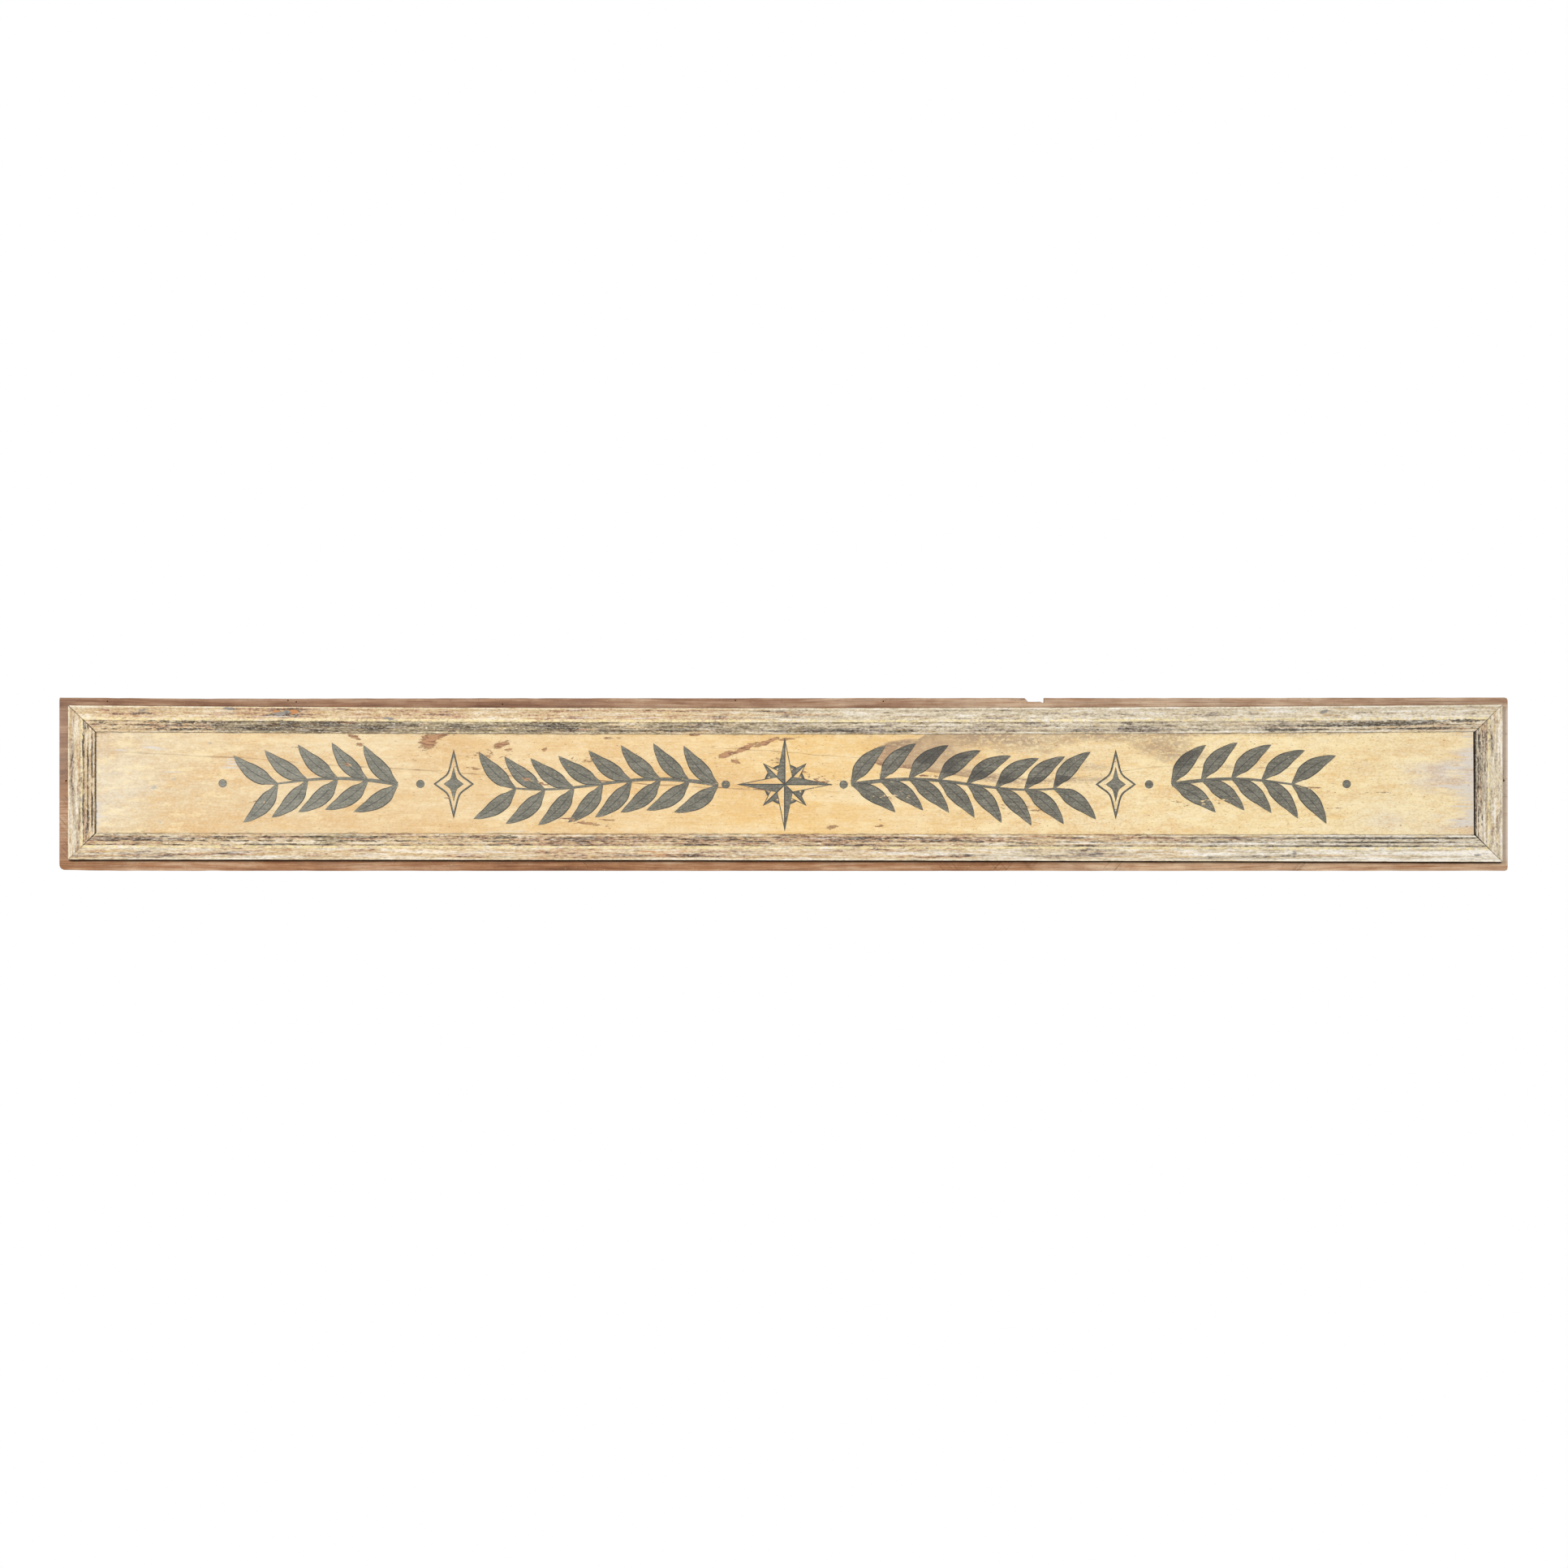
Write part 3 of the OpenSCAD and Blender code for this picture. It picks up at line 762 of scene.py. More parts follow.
def chalkedBlackPaint():
    material, tree, place = startMaterial("chalkedBlackPaint", 0.62, 0.35)
    panel = panelLayers(tree, place)[0]
    rimmed, veiled, chipShare, pale = (
        addNode(tree, "ShaderNodeAttribute", out="Fac", attribute_name=name)
        for name in ("rim", "veil", "chip", "pale"))
    x = addNode(tree, "ShaderNodeSeparateXYZ", {0: place})
    base = alongSign(tree, x, blackPlan["colours"])
    broad = driftField(tree, place, (22, 18), 31, 3.0)
    fine = driftField(tree, place, (4.0, 2.8), 32, 5.0, 0.72)  # chalk, coarse enough to show
    scratches = driftField(tree, place, (34, 1.5), 33, 4.0, 0.65)
    base = mottle(tree, base, broad, "#4f4e47", "#8d8b80", 0.4)
    base = mottle(tree, base, fine, "#2f2e2a", "#b3b0a0", 0.46)
    base = mottle(tree, base, scratches, "#4c4a43", "#b3b0a0", 0.3)
    through = patches(tree, place, (9, 3), 34, 0.15, 0.02, 6.0, 0.7)
    rim = addNode(tree, "ShaderNodeMapRange",
                  {"Value": rimmed, "From Min": 0.3, "From Max": 0.7, "To Max": 0.8})
    chip = patches(tree, place, (13, 5), 11, chipShare, 0.025, 6.0, 0.68)
    base = layColours(tree, base, [
        (patches(tree, place, (40, 12), 35, veiled, 0.1), 0.6, "#3c3834"),
        (rim, "#2f3234"),
        (through, panel),
        (chip, 0.85, panel),
        (pale, panel),
    ])
    return finishMaterial(material, base, [(fine, 0.12), (through, -0.12), (chip, -0.15)])


# Rusted wire-nail steel: dull brown scale with orange bloom
def rustedSteel():
    material, tree, place = startMaterial("rustedSteel", 0.7, 0.5, 0.35)
    scale = patches(tree, place, (1.0, 1.0), 42, 0.5, 0.08)
    base = layColours(tree, linearColour("#4a3b35"), [
        (patches(tree, place, (2.4, 2.4), 41, 0.5, 0.08), 0.7, "#84502f"),
        (scale, 0.5, "#2e2622"),
    ])
    return finishMaterial(material, base, [(scale, -0.08)])


# Geometry Nodes helpers

# A new tree with named inputs, and the sockets that bring them
def startTree(name, sockets):
    tree = bpy.data.node_groups.new(name, "GeometryNodeTree")
    tree.interface.new_socket(name="Geometry", in_out="INPUT", socket_type="NodeSocketGeometry")
    tree.interface.new_socket(name="Geometry", in_out="OUTPUT", socket_type="NodeSocketGeometry")
    for socketName, kind in sockets:
        tree.interface.new_socket(name=socketName, in_out="INPUT", socket_type="NodeSocket" + kind)
    given = addNode(tree, "NodeGroupInput", out=None).outputs
    return tree, {socket.name: socket for socket in given if socket.name}


# Ends a tree in plain mesh with its material on it
def finishTree(tree, made, material):
    made = addNode(tree, "GeometryNodeRealizeInstances", {0: made})
    made = addNode(tree, "GeometryNodeSetMaterial", {0: made, "Material": material})
    addNode(tree, "NodeGroupOutput", {0: made}, out=None)
    return tree


# Runs a tree on a piece with its inputs set by identifier, and keeps the plain mesh
def grow(piece, tree, values):
    modifier = piece.modifiers.new(tree.name, "NODES")
    modifier.node_group = tree
    for item in tree.interface.items_tree:
        if item.in_out == "INPUT" and item.name in values:
            modifier[item.identifier] = values[item.name]
    return settle(piece)


# Mouldings

mouldingPlan = {
    "filletWidth": 4.5,
    "filletStep": 1.0,
    "coveWidth": 17.6,
    "coveFall": 4.0,  # how much lower it ends than it starts
    "coveSag": 1.6,
    "covePoints": 12,
    "reedRound": 0.6,  # radius over width
    "reedPoints": 4,  # each side of its crest
    "reedSink": 0.6,
    "reedStep": 0.9,  # each reed lies this much lower than the one before
    "arris": 0.7,  # how far the sharp edges have worn round
    "grooveDepth": 0.8,  # what the old paint has left of the grooves between the reeds
    "stationSpacing": 2.5,
    "openFrom": 0.45,  # the mitres have opened from this share of the width inwards
    "wearDepth": 0.45,
    "wear": [((60, 3, 3), 0.5, 0.8), ((9, 2.5, 2.5), 0.55, 1.1)],  # size of the flakes, start, weight
}


def arc(start, end, sag, count):
    (x0, y0), (x1, y1) = start, end
    points = []
    for i in range(count + 1):
        t = i / count
        drop = 4 * sag * t * (1 - t)
        points.append((x0 + (x1 - x0) * t, y0 + (y1 - y0) * t - drop))
    return points


# Distance from the outer edge and height above the board, round the section
def mouldingSection():
    plan = mouldingPlan
    thick = boardFront - nodeBox("moulding_left")[0][1]
    arris = plan["arris"]
    coveStart = (plan["filletWidth"], thick - plan["filletStep"])
    coveEnd = (coveStart[0] + plan["coveWidth"], coveStart[1] - plan["coveFall"])
    flatEnd = reedEdges[0]
    points = [(0, 0), (0, thick * 0.3), (0, thick * 0.6), (0, thick - arris),
              (arris * 0.3, thick - arris * 0.3), (arris, thick), (plan["filletWidth"] / 2, thick),
              (plan["filletWidth"] - arris * 0.4, thick)]
    points += arc(coveStart, coveEnd, plan["coveSag"], plan["covePoints"])
    points += [((coveEnd[0] + flatEnd) / 2, coveEnd[1]), (flatEnd - 0.1, coveEnd[1] - 0.15)]
    crest = coveEnd[1] - plan["reedSink"]
    for i, (start, end) in enumerate(zip(reedEdges, (*reedEdges[1:], mouldingWidth))):
        radius = (end - start) * plan["reedRound"]
        swing = math.asin((end - start) / 2 / radius)
        middle = ((start + end) / 2, crest - plan["reedStep"] * i - radius)
        for j in range(-plan["reedPoints"], plan["reedPoints"] + 1):
            angle = swing * (j / plan["reedPoints"])
            height = max(middle[1] + radius * math.cos(angle), middle[1] + radius - plan["grooveDepth"])
            points.append((middle[0] + radius * math.sin(angle), height))
    inner = points[-1][1]
    points += [(mouldingWidth, inner * 0.6), (mouldingWidth, 0), (mouldingWidth * 0.6, 0),
               (mouldingWidth * 0.3, 0)]
    return points


# Sweeps the section along a length, closes its mitres, and wears the paint and edges
def mouldingTree():
    plan = mouldingPlan
    tree, given = startTree("mitredMoulding", [
        ("Length", "Float"), ("Width", "Float"), ("Stations", "Int"), ("Gap at start", "Float"),
        ("Gap at end", "Float"), ("Wear depth", "Float"), ("Seed", "Float"), ("Turn", "Vector"),
        ("Place", "Vector"), ("Paint", "Material"),
    ])
    section = addNode(tree, "GeometryNodeMeshToCurve", {0: given["Geometry"]})
    line = addNode(tree, "GeometryNodeCurvePrimitiveLine", {"End": (1, 0, 0)})
    line = addNode(tree, "GeometryNodeResampleCurve", {0: line, "Count": given["Stations"]})
    length = addNode(tree, "GeometryNodeCurveToMesh",
                     {0: line, "Profile Curve": section, "Fill Caps": True})
    length = addNode(tree, "GeometryNodeFlipFaces", {0: length})
    place = addNode(tree, "GeometryNodeInputPosition")
    share, across, height = addNode(tree, "ShaderNodeSeparateXYZ", {0: place}, out=None).outputs
    # the mitres: each end stands back by its distance across, and by its gap on the inner half
    reach = addUp(tree, multiply(tree, given["Length"], 0.5), [(across, -1.0)])
    opened = addNode(tree, "ShaderNodeMapRange", {
        "Value": across, "From Min": multiply(tree, given["Width"], plan["openFrom"]),
        "From Max": given["Width"]})
    start, end = (addUp(tree, reach, [(multiply(tree, opened, given[name]), -1.0)])
                  for name in ("Gap at start", "Gap at end"))
    along = addNode(tree, "ShaderNodeMix", {0: share, 2: multiply(tree, start, -1.0), 3: end})
    mitred = addNode(tree, "ShaderNodeCombineXYZ", {0: along, 1: across, 2: height})
    length = addNode(tree, "GeometryNodeSetPosition", {0: length, "Position": mitred})
    length = addNode(tree, "GeometryNodeStoreNamedAttribute",
                     {0: length, "Name": "across", "Value": multiply(tree, across, metre)})
    # paint lost in long flakes, and small chips out of the edges
    wear = 0.0
    for size, startAt, weight in plan["wear"]:
        scaled = addNode(tree, "ShaderNodeVectorMath", {0: place, 1: [metre / c for c in size]},
                         operation="MULTIPLY")
        field = addNode(tree, "ShaderNodeTexNoise",
                        {"Vector": scaled, "W": given["Seed"], "Scale": 1.0, "Detail": 2.0},
                        noise_dimensions="4D")
        field = addNode(tree, "ShaderNodeMapRange", {
            "Value": field, "From Min": startAt, "From Max": startAt + 0.25, "To Max": weight})
        wear = addUp(tree, wear, [(field, 1.0)])
    deep = multiply(tree, wear, given["Wear depth"], -1.0)
    normal = addNode(tree, "GeometryNodeInputNormal")
    offset = addNode(tree, "ShaderNodeVectorMath", {0: normal, "Scale": deep}, operation="SCALE")
    aboveBoard = addNode(tree, "FunctionNodeCompare", {0: height, 1: 0.5 / metre},
                         operation="GREATER_THAN")
    length = addNode(tree, "GeometryNodeSetPosition",
                     {0: length, "Selection": aboveBoard, "Offset": offset})
    length = addNode(tree, "GeometryNodeTransform", {0: length, "Rotation": (math.radians(90), 0, 0)})
    length = addNode(tree, "GeometryNodeTransform",
                     {0: length, "Rotation": given["Turn"], "Translation": given["Place"]})
    return finishTree(tree, length, given["Paint"])


# How each side has weathered. seed and stretch are of its paint pattern, and stretch draws that out along
# the grain; uneven is how much the paint varies; gaps are how far the two mitres have opened, and mitres
# how dark their outer and inner halves show; the inner shadow line is where the painted shadow by the
# panel starts and how dark it is. The bands are stops across the section, which add to paint: they carry
# paint loss and also painted light and shade that follow the profile. The next rows are stops along the
# side: the paint left, the cool share of the cove and of the reeds, the mould, and the black in the
# grooves. The last rows are spots of (along, across, half sizes, slope, strength), with soots for black
# crumbs.
mouldingSides = {
    "top": {
        "axis": 0, "turn": 180, "seed": 100, "stretch": 1.2, "uneven": 0.95,
        "gaps": (0.9, 0.5), "mitres": ((0.95, 1.0), (0.75, 0.8)), "innerLine": (43.6, 0.55),
        "bands": [(0, 0.6), (2, 0.6), (3.5, 0.46), (7, 0.48), (9.5, 0.6), (13, 0.44), (18.5, 0.42),
                  (20, 0.62), (24, 0.64), (25, 0.4), (30, 0.42), (38, 0.34), (41, 0.34), (42, 0.5),
                  (44.5, 0.54)],
        "paint": [(-1200, 0.7), (-930, 0.62), (-870, 0.44), (-740, 0.46), (-600, 0.61), (-200, 0.58),
                  (100, 0.62), (700, 0.68), (900, 0.76), (1200, 0.8)],
        "cool": [(-1200, 0.28), (-860, 0.3), (-650, 0.15), (-250, 0.25), (50, 0.85), (700, 1.0),
                 (900, 0.9), (1200, 0.9)],
        "reedCool": [(-1200, 0.15), (-900, 0.2), (-200, 0.6), (50, 0.95), (800, 0.95), (1000, 0.7),
                     (1200, 0.6)],
        "mould": [(-1200, 0.0), (-1120, 0.2), (-1000, 0.5), (-850, 0.95), (-480, 1.0), (-330, 0.75),
                  (0, 0.6), (250, 0.3), (800, 0.26), (1000, 0.2), (1200, 0.2)],
        "lines": [(-1200, 0.3), (-1060, 0.6), (-900, 0.5), (-700, 0.4), (-300, 0.55), (0, 0.45),
                  (700, 0.4), (1000, 0.6), (1200, 0.5)],
        "soots": [(-1000, 27, 90, 3.5, 0, 0.8), (-1000, 39, 90, 3, 0, 0.8), (-1140, 28, 30, 5, 0, 0.6),
                  (960, 33, 120, 1.6, 0, 1.15), (850, 33.5, 60, 1.4, 0, 0.7),
                  (700, 39.5, 90, 1.6, 0, 0.7), (-840, 25, 30, 3, 0, 0.8), (-695, 36, 30, 7, 0, 0.65),
                  (-376, 32, 45, 7, 0, 0.75), (-200, 38, 70, 3, 0, 0.5), (-560, 40, 60, 3, 0, 0.5),
                  (100, 40, 80, 2.5, 0, 0.3), (300, 33, 60, 3, 0, 0.3), (836, 39.5, 60, 4, 0, 0.85),
                  (1010, 29, 130, 3.4, 0, 1.1), (1060, 38, 110, 2.4, 0, 0.8),
                  (1140, 26, 40, 4, 0, 0.8)],
        "bareSpots": [(-822, 8.5, 9, 5, 0, 1.1), (-852, 8, 7, 4.5, 0, 1.0), (-560, 9, 90, 5, 0, 0.22),
                      (-650, 8, 60, 4, 0, 0.2), (-380, 10, 60, 5, 0, 0.22), (-1130, 13, 50, 3, 0, 0.3)],
        "stains": [(-1082, 9, 26, 4, -8, 0.6), (-1046, 13, 16, 3, 0, 0.45), (-930, 3.5, 8, 2.5, 0, 1.5),
                   (-845, 12, 13, 4.5, 0, 1.0), (-834, 8.6, 5, 2.4, 0, 2.1),
                   (-661, 19.5, 13, 3, 10, 0.95), (784, 10.5, 8, 1.8, 40, 1.1),
                   (906, 9, 9, 3, -10, 1.2), (560, 9, 24, 3, 0, 0.35)],
    },
    "bottom": {
        "axis": 0, "turn": 0, "seed": 200, "stretch": 1.7, "uneven": 1.15,
        "gaps": (1.2, 1.6), "mitres": ((0.15, 0.85), (0.95, 1.0)), "innerLine": (43.6, 0.3),
        "bands": [(0, 0.56), (2.5, 0.62), (4.2, 0.6), (5.5, 0.46), (8, 0.42), (10, 0.48), (12, 0.6),
                  (20, 0.56), (24, 0.6), (25, 0.34), (28, 0.38), (29.5, 0.52), (31, 0.48), (33, 0.4),
                  (35, 0.33), (39, 0.33), (41, 0.5), (44.5, 0.52)],
        "paint": [(-1200, 0.58), (-900, 0.57), (-720, 0.68), (-540, 0.68), (-400, 0.58), (100, 0.59),
                  (500, 0.62), (800, 0.72), (900, 0.86), (1200, 0.86)],
        "cool": [(-1200, 0.75), (-900, 0.6), (-600, 0.35), (-200, 0.45), (200, 0.6), (700, 0.8),
                 (1200, 0.95)],
        "reedCool": [(-1200, 0.5), (-700, 0.3), (-200, 0.2), (500, 0.5), (900, 0.8), (1200, 0.85)],
        "mould": [(-1200, 0.35), (-1000, 0.3), (-780, 0.6), (-700, 0.5), (-560, 0.25), (0, 0.15),
                  (600, 0.15), (900, 0.0), (1200, 0.0)],
        "lines": [(-1200, 0.5), (-1000, 0.6), (-300, 0.6), (500, 0.55), (750, 0.6), (900, 0.64),
                  (1200, 0.6)],
        "soots": [(1000, 38.8, 170, 1.5, 0, 1.1), (1010, 32, 160, 1.4, 0, 1.1),
                  (940, 25.6, 200, 1.3, 0, 0.95), (700, 32, 120, 1.5, 0, 0.7),
                  (-150, 36, 200, 2, 0, 0.6), (-855, 26, 75, 1.8, 0, 1.0), (-940, 36, 70, 3, 0, 0.6),
                  (-468, 38, 34, 5, 0, 0.75), (-720, 33, 60, 6, 0, 0.5), (-150, 27, 60, 2, 0, 0.7),
                  (160, 38, 60, 2.5, 0, 0.6), (420, 30, 80, 2.5, 0, 0.55)],
        "bareSpots": [(-1000, 12, 90, 4, 0, 0.3), (-740, 12, 70, 3, 0, 0.25),
                      (-220, 14, 240, 5, 0, 0.4), (-100, 8, 200, 3, 0, 0.35),
                      (-250, 34, 260, 6, 0, 0.2), (300, 10, 120, 4, 0, 0.25), (-420, 2, 40, 2, 0, 0.6),
                      (-330, 2, 12, 2, 0, 0.6)],
        "stains": [(857, 13.6, 9, 3, 14, 0.8), (1164, 12, 9, 4, 0, 0.75), (-600, 14, 12, 2, 0, 0.4),
                   (-40, 10, 16, 3, 0, 0.35), (520, 12, 20, 3, 0, 0.4)],
    },
    "left": {
        "axis": 2, "turn": 90, "seed": 300, "stretch": 1.0, "uneven": 1.0,
        "gaps": (1.2, 0.9), "mitres": ((0.15, 0.6), (0.5, 0.6)), "innerLine": (42.7, 0.95),
        "bands": [(0, 0.54), (2, 0.52), (3, 0.43), (22, 0.43), (24, 0.5), (25, 0.5), (43, 0.5),
                  (44.5, 0.42)],
        "paint": [(-130, 0.68), (0, 0.62), (130, 0.68)],
        "cool": [(-130, 0.6), (0, 0.75), (130, 0.5)],
        "reedCool": [(-130, 0.3), (0, 0.3), (130, 0.2)],
        "mould": [(-130, 0.1), (0, 0.1), (130, 0.2)],
        "lines": [(-130, 0.3), (-90, 0.64), (60, 0.7), (100, 0.55), (130, 0.3)],
        "soots": [(60, 24, 26, 1.6, 0, 1.0), (-40, 24, 30, 1.6, 0, 1.0), (40, 32, 30, 2, 0, 0.95),
                  (-50, 32, 26, 2, 0, 1.05), (-50, 39, 30, 2, 0, 1.0), (50, 39, 24, 1.8, 0, 0.95),
                  (95, 28, 12, 5, 0, 0.7)],
        "bareSpots": [],
        "stains": [(10, 20, 5, 4, 0, 0.45), (95, 26, 12, 3, 0, 0.6)],
    },
    "right": {
        "axis": 2, "turn": -90, "seed": 400, "stretch": 1.0, "uneven": 1.15,
        "gaps": (1.6, 0.5), "mitres": ((0.3, 0.5), (0.2, 0.3)), "innerLine": (42.0, 1.0),
        "bands": [(0, 0.56), (2, 0.54), (3, 0.47), (22, 0.47), (24, 0.5), (25, 0.39), (43, 0.39),
                  (44.5, 0.36)],
        "paint": [(-130, 0.7), (0, 0.66), (130, 0.72)],
        "cool": [(-130, 0.9), (0, 0.9), (130, 0.8)],
        "reedCool": [(-130, 0.8), (0, 0.85), (130, 0.7)],
        "mould": [(-130, 0.15), (0, 0.25), (130, 0.35)],
        "lines": [(-130, 0.2), (-60, 0.4), (20, 0.5), (90, 0.5), (130, 0.3)],
        "soots": [(70, 38, 24, 4, 0, 0.8), (20, 40, 50, 2.5, 0, 0.8), (-50, 39, 22, 2, 0, 0.8),
                  (-60, 33, 20, 1.6, 0, 0.6)],
        "bareSpots": [],
        "stains": [(60, 15, 14, 2, 0, 0.4), (-30, 8, 8, 3, 0, 0.35)],
    },
}


def makeMouldings():
    tree = mouldingTree()
    section = mouldingSection()
    count = len(section)
    ring = [(i, (i + 1) % count) for i in range(count)]
    for side, plan in mouldingSides.items():
        upright = plan["axis"] == 2
        length = frameWidth if upright else frameLength
        place = {
            "top": (frameMiddle[0], boardFront, frameHigh[1]),
            "bottom": (frameMiddle[0], boardFront, frameLow[1]),
            "left": (frameLow[0], boardFront, frameMiddle[1]),
            "right": (frameHigh[0], boardFront, frameMiddle[1]),
        }[side]
        mesh = newMesh("moulding" + side.capitalize(), [(-u, -h, 0) for u, h in section], ring)
        piece = addObject(mesh.name, mesh)
        grow(piece, tree, {
            "Length": length / metre,
            "Width": mouldingWidth / metre,
            "Stations": int(length / mouldingPlan["stationSpacing"]),
            "Gap at start": plan["gaps"][0] / metre,
            "Gap at end": plan["gaps"][1] / metre,
            "Wear depth": mouldingPlan["wearDepth"] / metre,
            "Seed": float(plan["seed"]),
            "Turn": (0, math.radians(plan["turn"]), 0),
            "Place": [c / metre for c in place],
            "Paint": scalingCreamPaint("scalingCreamPaint" + side.capitalize(), plan),
        })
        along = pointsOf(piece.data)[:, plan["axis"]]
        across = getField(piece.data, "across")
        for field in ("bareSpot", "stain", "soot"):
            setField(piece.data, field, spotField(along, across, plan[field + "s"]))
        middle = frameMiddle[1 if upright else 0]
        ends = [length / 2 + sign * (along - middle) - across for sign in (1, -1)]
        setField(piece.data, "toMitres", [*ends, along * 0])
        rack(piece.data)
        finishPiece(piece, "cream_paint", "moulding_" + side)


# Panel

panelPlan = {
    "spacing": 2.6,  # between the points of its face
    "chipDepth": 0.35,
    "grainDepth": 0.12,
    "grainSize": (70, 3.5),
    "endTaper": 1.0,  # how much further the right end reaches at the bottom
    "taperReach": 60,
    "seamWidth": 2.2,  # of the darker band along its edges
    "seamStrength": 0.6,
    # chips and bare places: x, z, half length, half height, slope, strength
    "chips": [
        (-596, 72, 17, 13, 28, 1.0), (-578, 82, 16, 5, 10, 0.95), (-722, 80, 14, 4, -20, 0.8),
        (-712, 67, 9, 3, 0, 0.75), (-476, 66, 18, 6, 18, 0.85), (-462, 58, 8, 3, 0, 0.7),
        (-401, 59, 6, 4, 30, 0.85), (-150, 83, 14, 3, 0, 0.75), (-290, 78, 24, 2.5, 0, 0.65),
        (-96, 50, 14, 5.5, 22, 1.1), (-66, 60, 24, 4.2, 24, 1.1), (-30, 70, 24, 3.6, 20, 1.0),
        (6, 76, 20, 2.2, 8, 0.8), (-80, 38, 9, 4.5, -20, 0.95), (26, 22, 16, 2.6, -12, 0.9),
        (-30, -9, 44, 2.2, -3, 0.8), (-360, -58, 26, 2.2, -2, 0.75), (-330, -66, 34, 2.6, -6, 0.75),
        (-296, -60, 20, 2.2, -4, 0.7), (-10, 40, 20, 8, 0, 0.42), (60, 6, 60, 12, -4, 0.36),
        (-120, 4, 50, 8, 0, 0.34), (180, -20, 60, 12, 0, 0.34), (-500, 50, 60, 10, 0, 0.36),
        (-330, 40, 60, 12, 0, 0.34), (400, -40, 90, 14, 0, 0.34), (700, -30, 90, 10, 0, 0.34),
        (80, -72, 13, 3.5, 8, 0.8), (160, -70, 12, 2.5, 0, 0.7), (-520, 26, 15, 2.4, -6, 0.75),
        (-430, 8, 20, 3, -12, 0.75), (-620, 40, 10, 2.4, 0, 0.7), (240, 14, 26, 2.2, -4, 0.7),
        (-880, -30, 26, 2.4, 0, 0.6), (-560, -24, 14, 2.2, -4, 0.7), (-735, 34, 9, 3, -30, 0.8),
        (-410, 2, 30, 2.4, -16, 0.7), (-820, 62, 20, 2, 0, 0.5), (880, -6, 30, 2.2, -2, 0.6),
        (1000, -14, 34, 2, -3, 0.6), (930, -40, 26, 2, 0, 0.5),
    ],
    # the bare brown lens between two edges, given as x and z, and the grey veil beside it
    "lensLow": [(138.5, 45), (146, 38), (159, 32), (174, 28), (194, 27), (204, 27), (237, 21), (258, 19),
                (276, 18), (302, 12), (360, 6)],
    "lensHigh": [(138.5, 45), (146, 55), (162, 64), (174, 70), (188, 73), (206, 75), (224, 75), (240, 86),
                 (360, 96)],
    "lensEnd": (205, 350),  # it fades out between these
    "veils": [
        (350, 76, 150, 26, 0, 1.35), (520, 84, 150, 20, 0, 1.2), (262, 60, 60, 40, 0, 1.2),
        (330, 15, 90, 10, -8, 1.2), (430, 7, 120, 7, 0, 1.1), (640, 58, 84, 38, -10, 1.0),
        (740, 87, 220, 10, 0, 1.15), (-590, 80, 30, 8, 0, 0.6), (950, 86, 110, 5, 0, 0.8),
        (0, 88, 220, 4, 0, 0.7), (700, 34, 120, 7, -6, 0.7), (460, 40, 200, 26, 0, 0.4),
    ],
    "worns": [
        (-1162, -48, 24, 44, 0, 0.85), (-1162, 50, 14, 40, 0, 0.7), (-930, 38, 34, 12, -10, 0.7),
        (-1062, 62, 24, 5, -8, 0.95), (-1110, 58, 30, 5, 4, 0.55), (1176, 5, 56, 100, 0, 0.94),
        (1150, 50, 36, 9, 0, 1.0), (1130, -6, 44, 5, -4, 0.9), (1130, 28, 42, 5, 0, 0.8),
        (1160, 72, 26, 14, 0, 0.6), (1150, -62, 44, 12, 4, 0.8), (963, 36, 26, 18, 0, 0.35),
        (-905, 86, 60, 3, 0, 0.4), (-1020, 20, 60, 3, -3, 0.6), (-1090, -20, 50, 3, 0, 0.6),
        (-980, -50, 80, 3, 0, 0.5), (-800, 12, 60, 2.5, -3, 0.5), (-850, -40, 50, 3, 0, 0.45),
        (-720, -20, 60, 2.4, 0, 0.4), (-460, -80, 70, 4, 0, 0.5),
    ],
    "nailSpots": [(-1055, -5, 5, 4, 0, 1.1), (-1024, 8, 4, 4, 0, 0.8), (-1048, -64, 4, 4, 0, 0.9),
                  (-963, 69, 4, 3, 0, 0.9)],
    # cracks along the grain: x and z at each bend
    "cracks": [
        [(-1158, 56), (-923, 45), (-731, 29), (-608, 23), (-362, 8), (-82, -8), (34, -11)],
        [(-82, 60), (0, 54), (143, 43)],
        [(293, 15), (380, 9), (457, 6), (620, 30), (760, 28), (867, 26)],
    ],
    "crackWaver": (26, 2.4),  # how long and how wide its wavering is
}


# The same fields serve the panel and the paint that lies on it
def setPanelFields(mesh):
    points = pointsOf(mesh)
    x, z = points[:, 0], points[:, 2]
    for name in ("chip", "veil", "worn", "nailSpot"):
        setField(mesh, name, spotField(x, z, panelPlan[name + "s"]))
    start, end = panelPlan["lensEnd"]
    tip = panelPlan["lensLow"][0][0]
    fade = np.where(x < tip, 0, np.clip((end - x) / (end - start), 0, 1))
    low, high = (np.interp(x, *zip(*panelPlan[name])) for name in ("lensLow", "lensHigh"))
    setField(mesh, "lens", [z - low, high - z, fade])
    waverLength, waver = panelPlan["crackWaver"]
    away = []
    for i, route in enumerate(panelPlan["cracks"]):
        routeX, routeZ = zip(*route)
        line = np.interp(x, routeX, routeZ) + (wander(x, waverLength, 60 + i) - 0.5) * waver
        beyond = np.maximum(np.maximum(routeX[0] - x, x - routeX[-1]), 0)
        away.append(z - line + beyond * 0.5 * np.sign(z - line + 0.01))
    setField(mesh, "cracks", away)


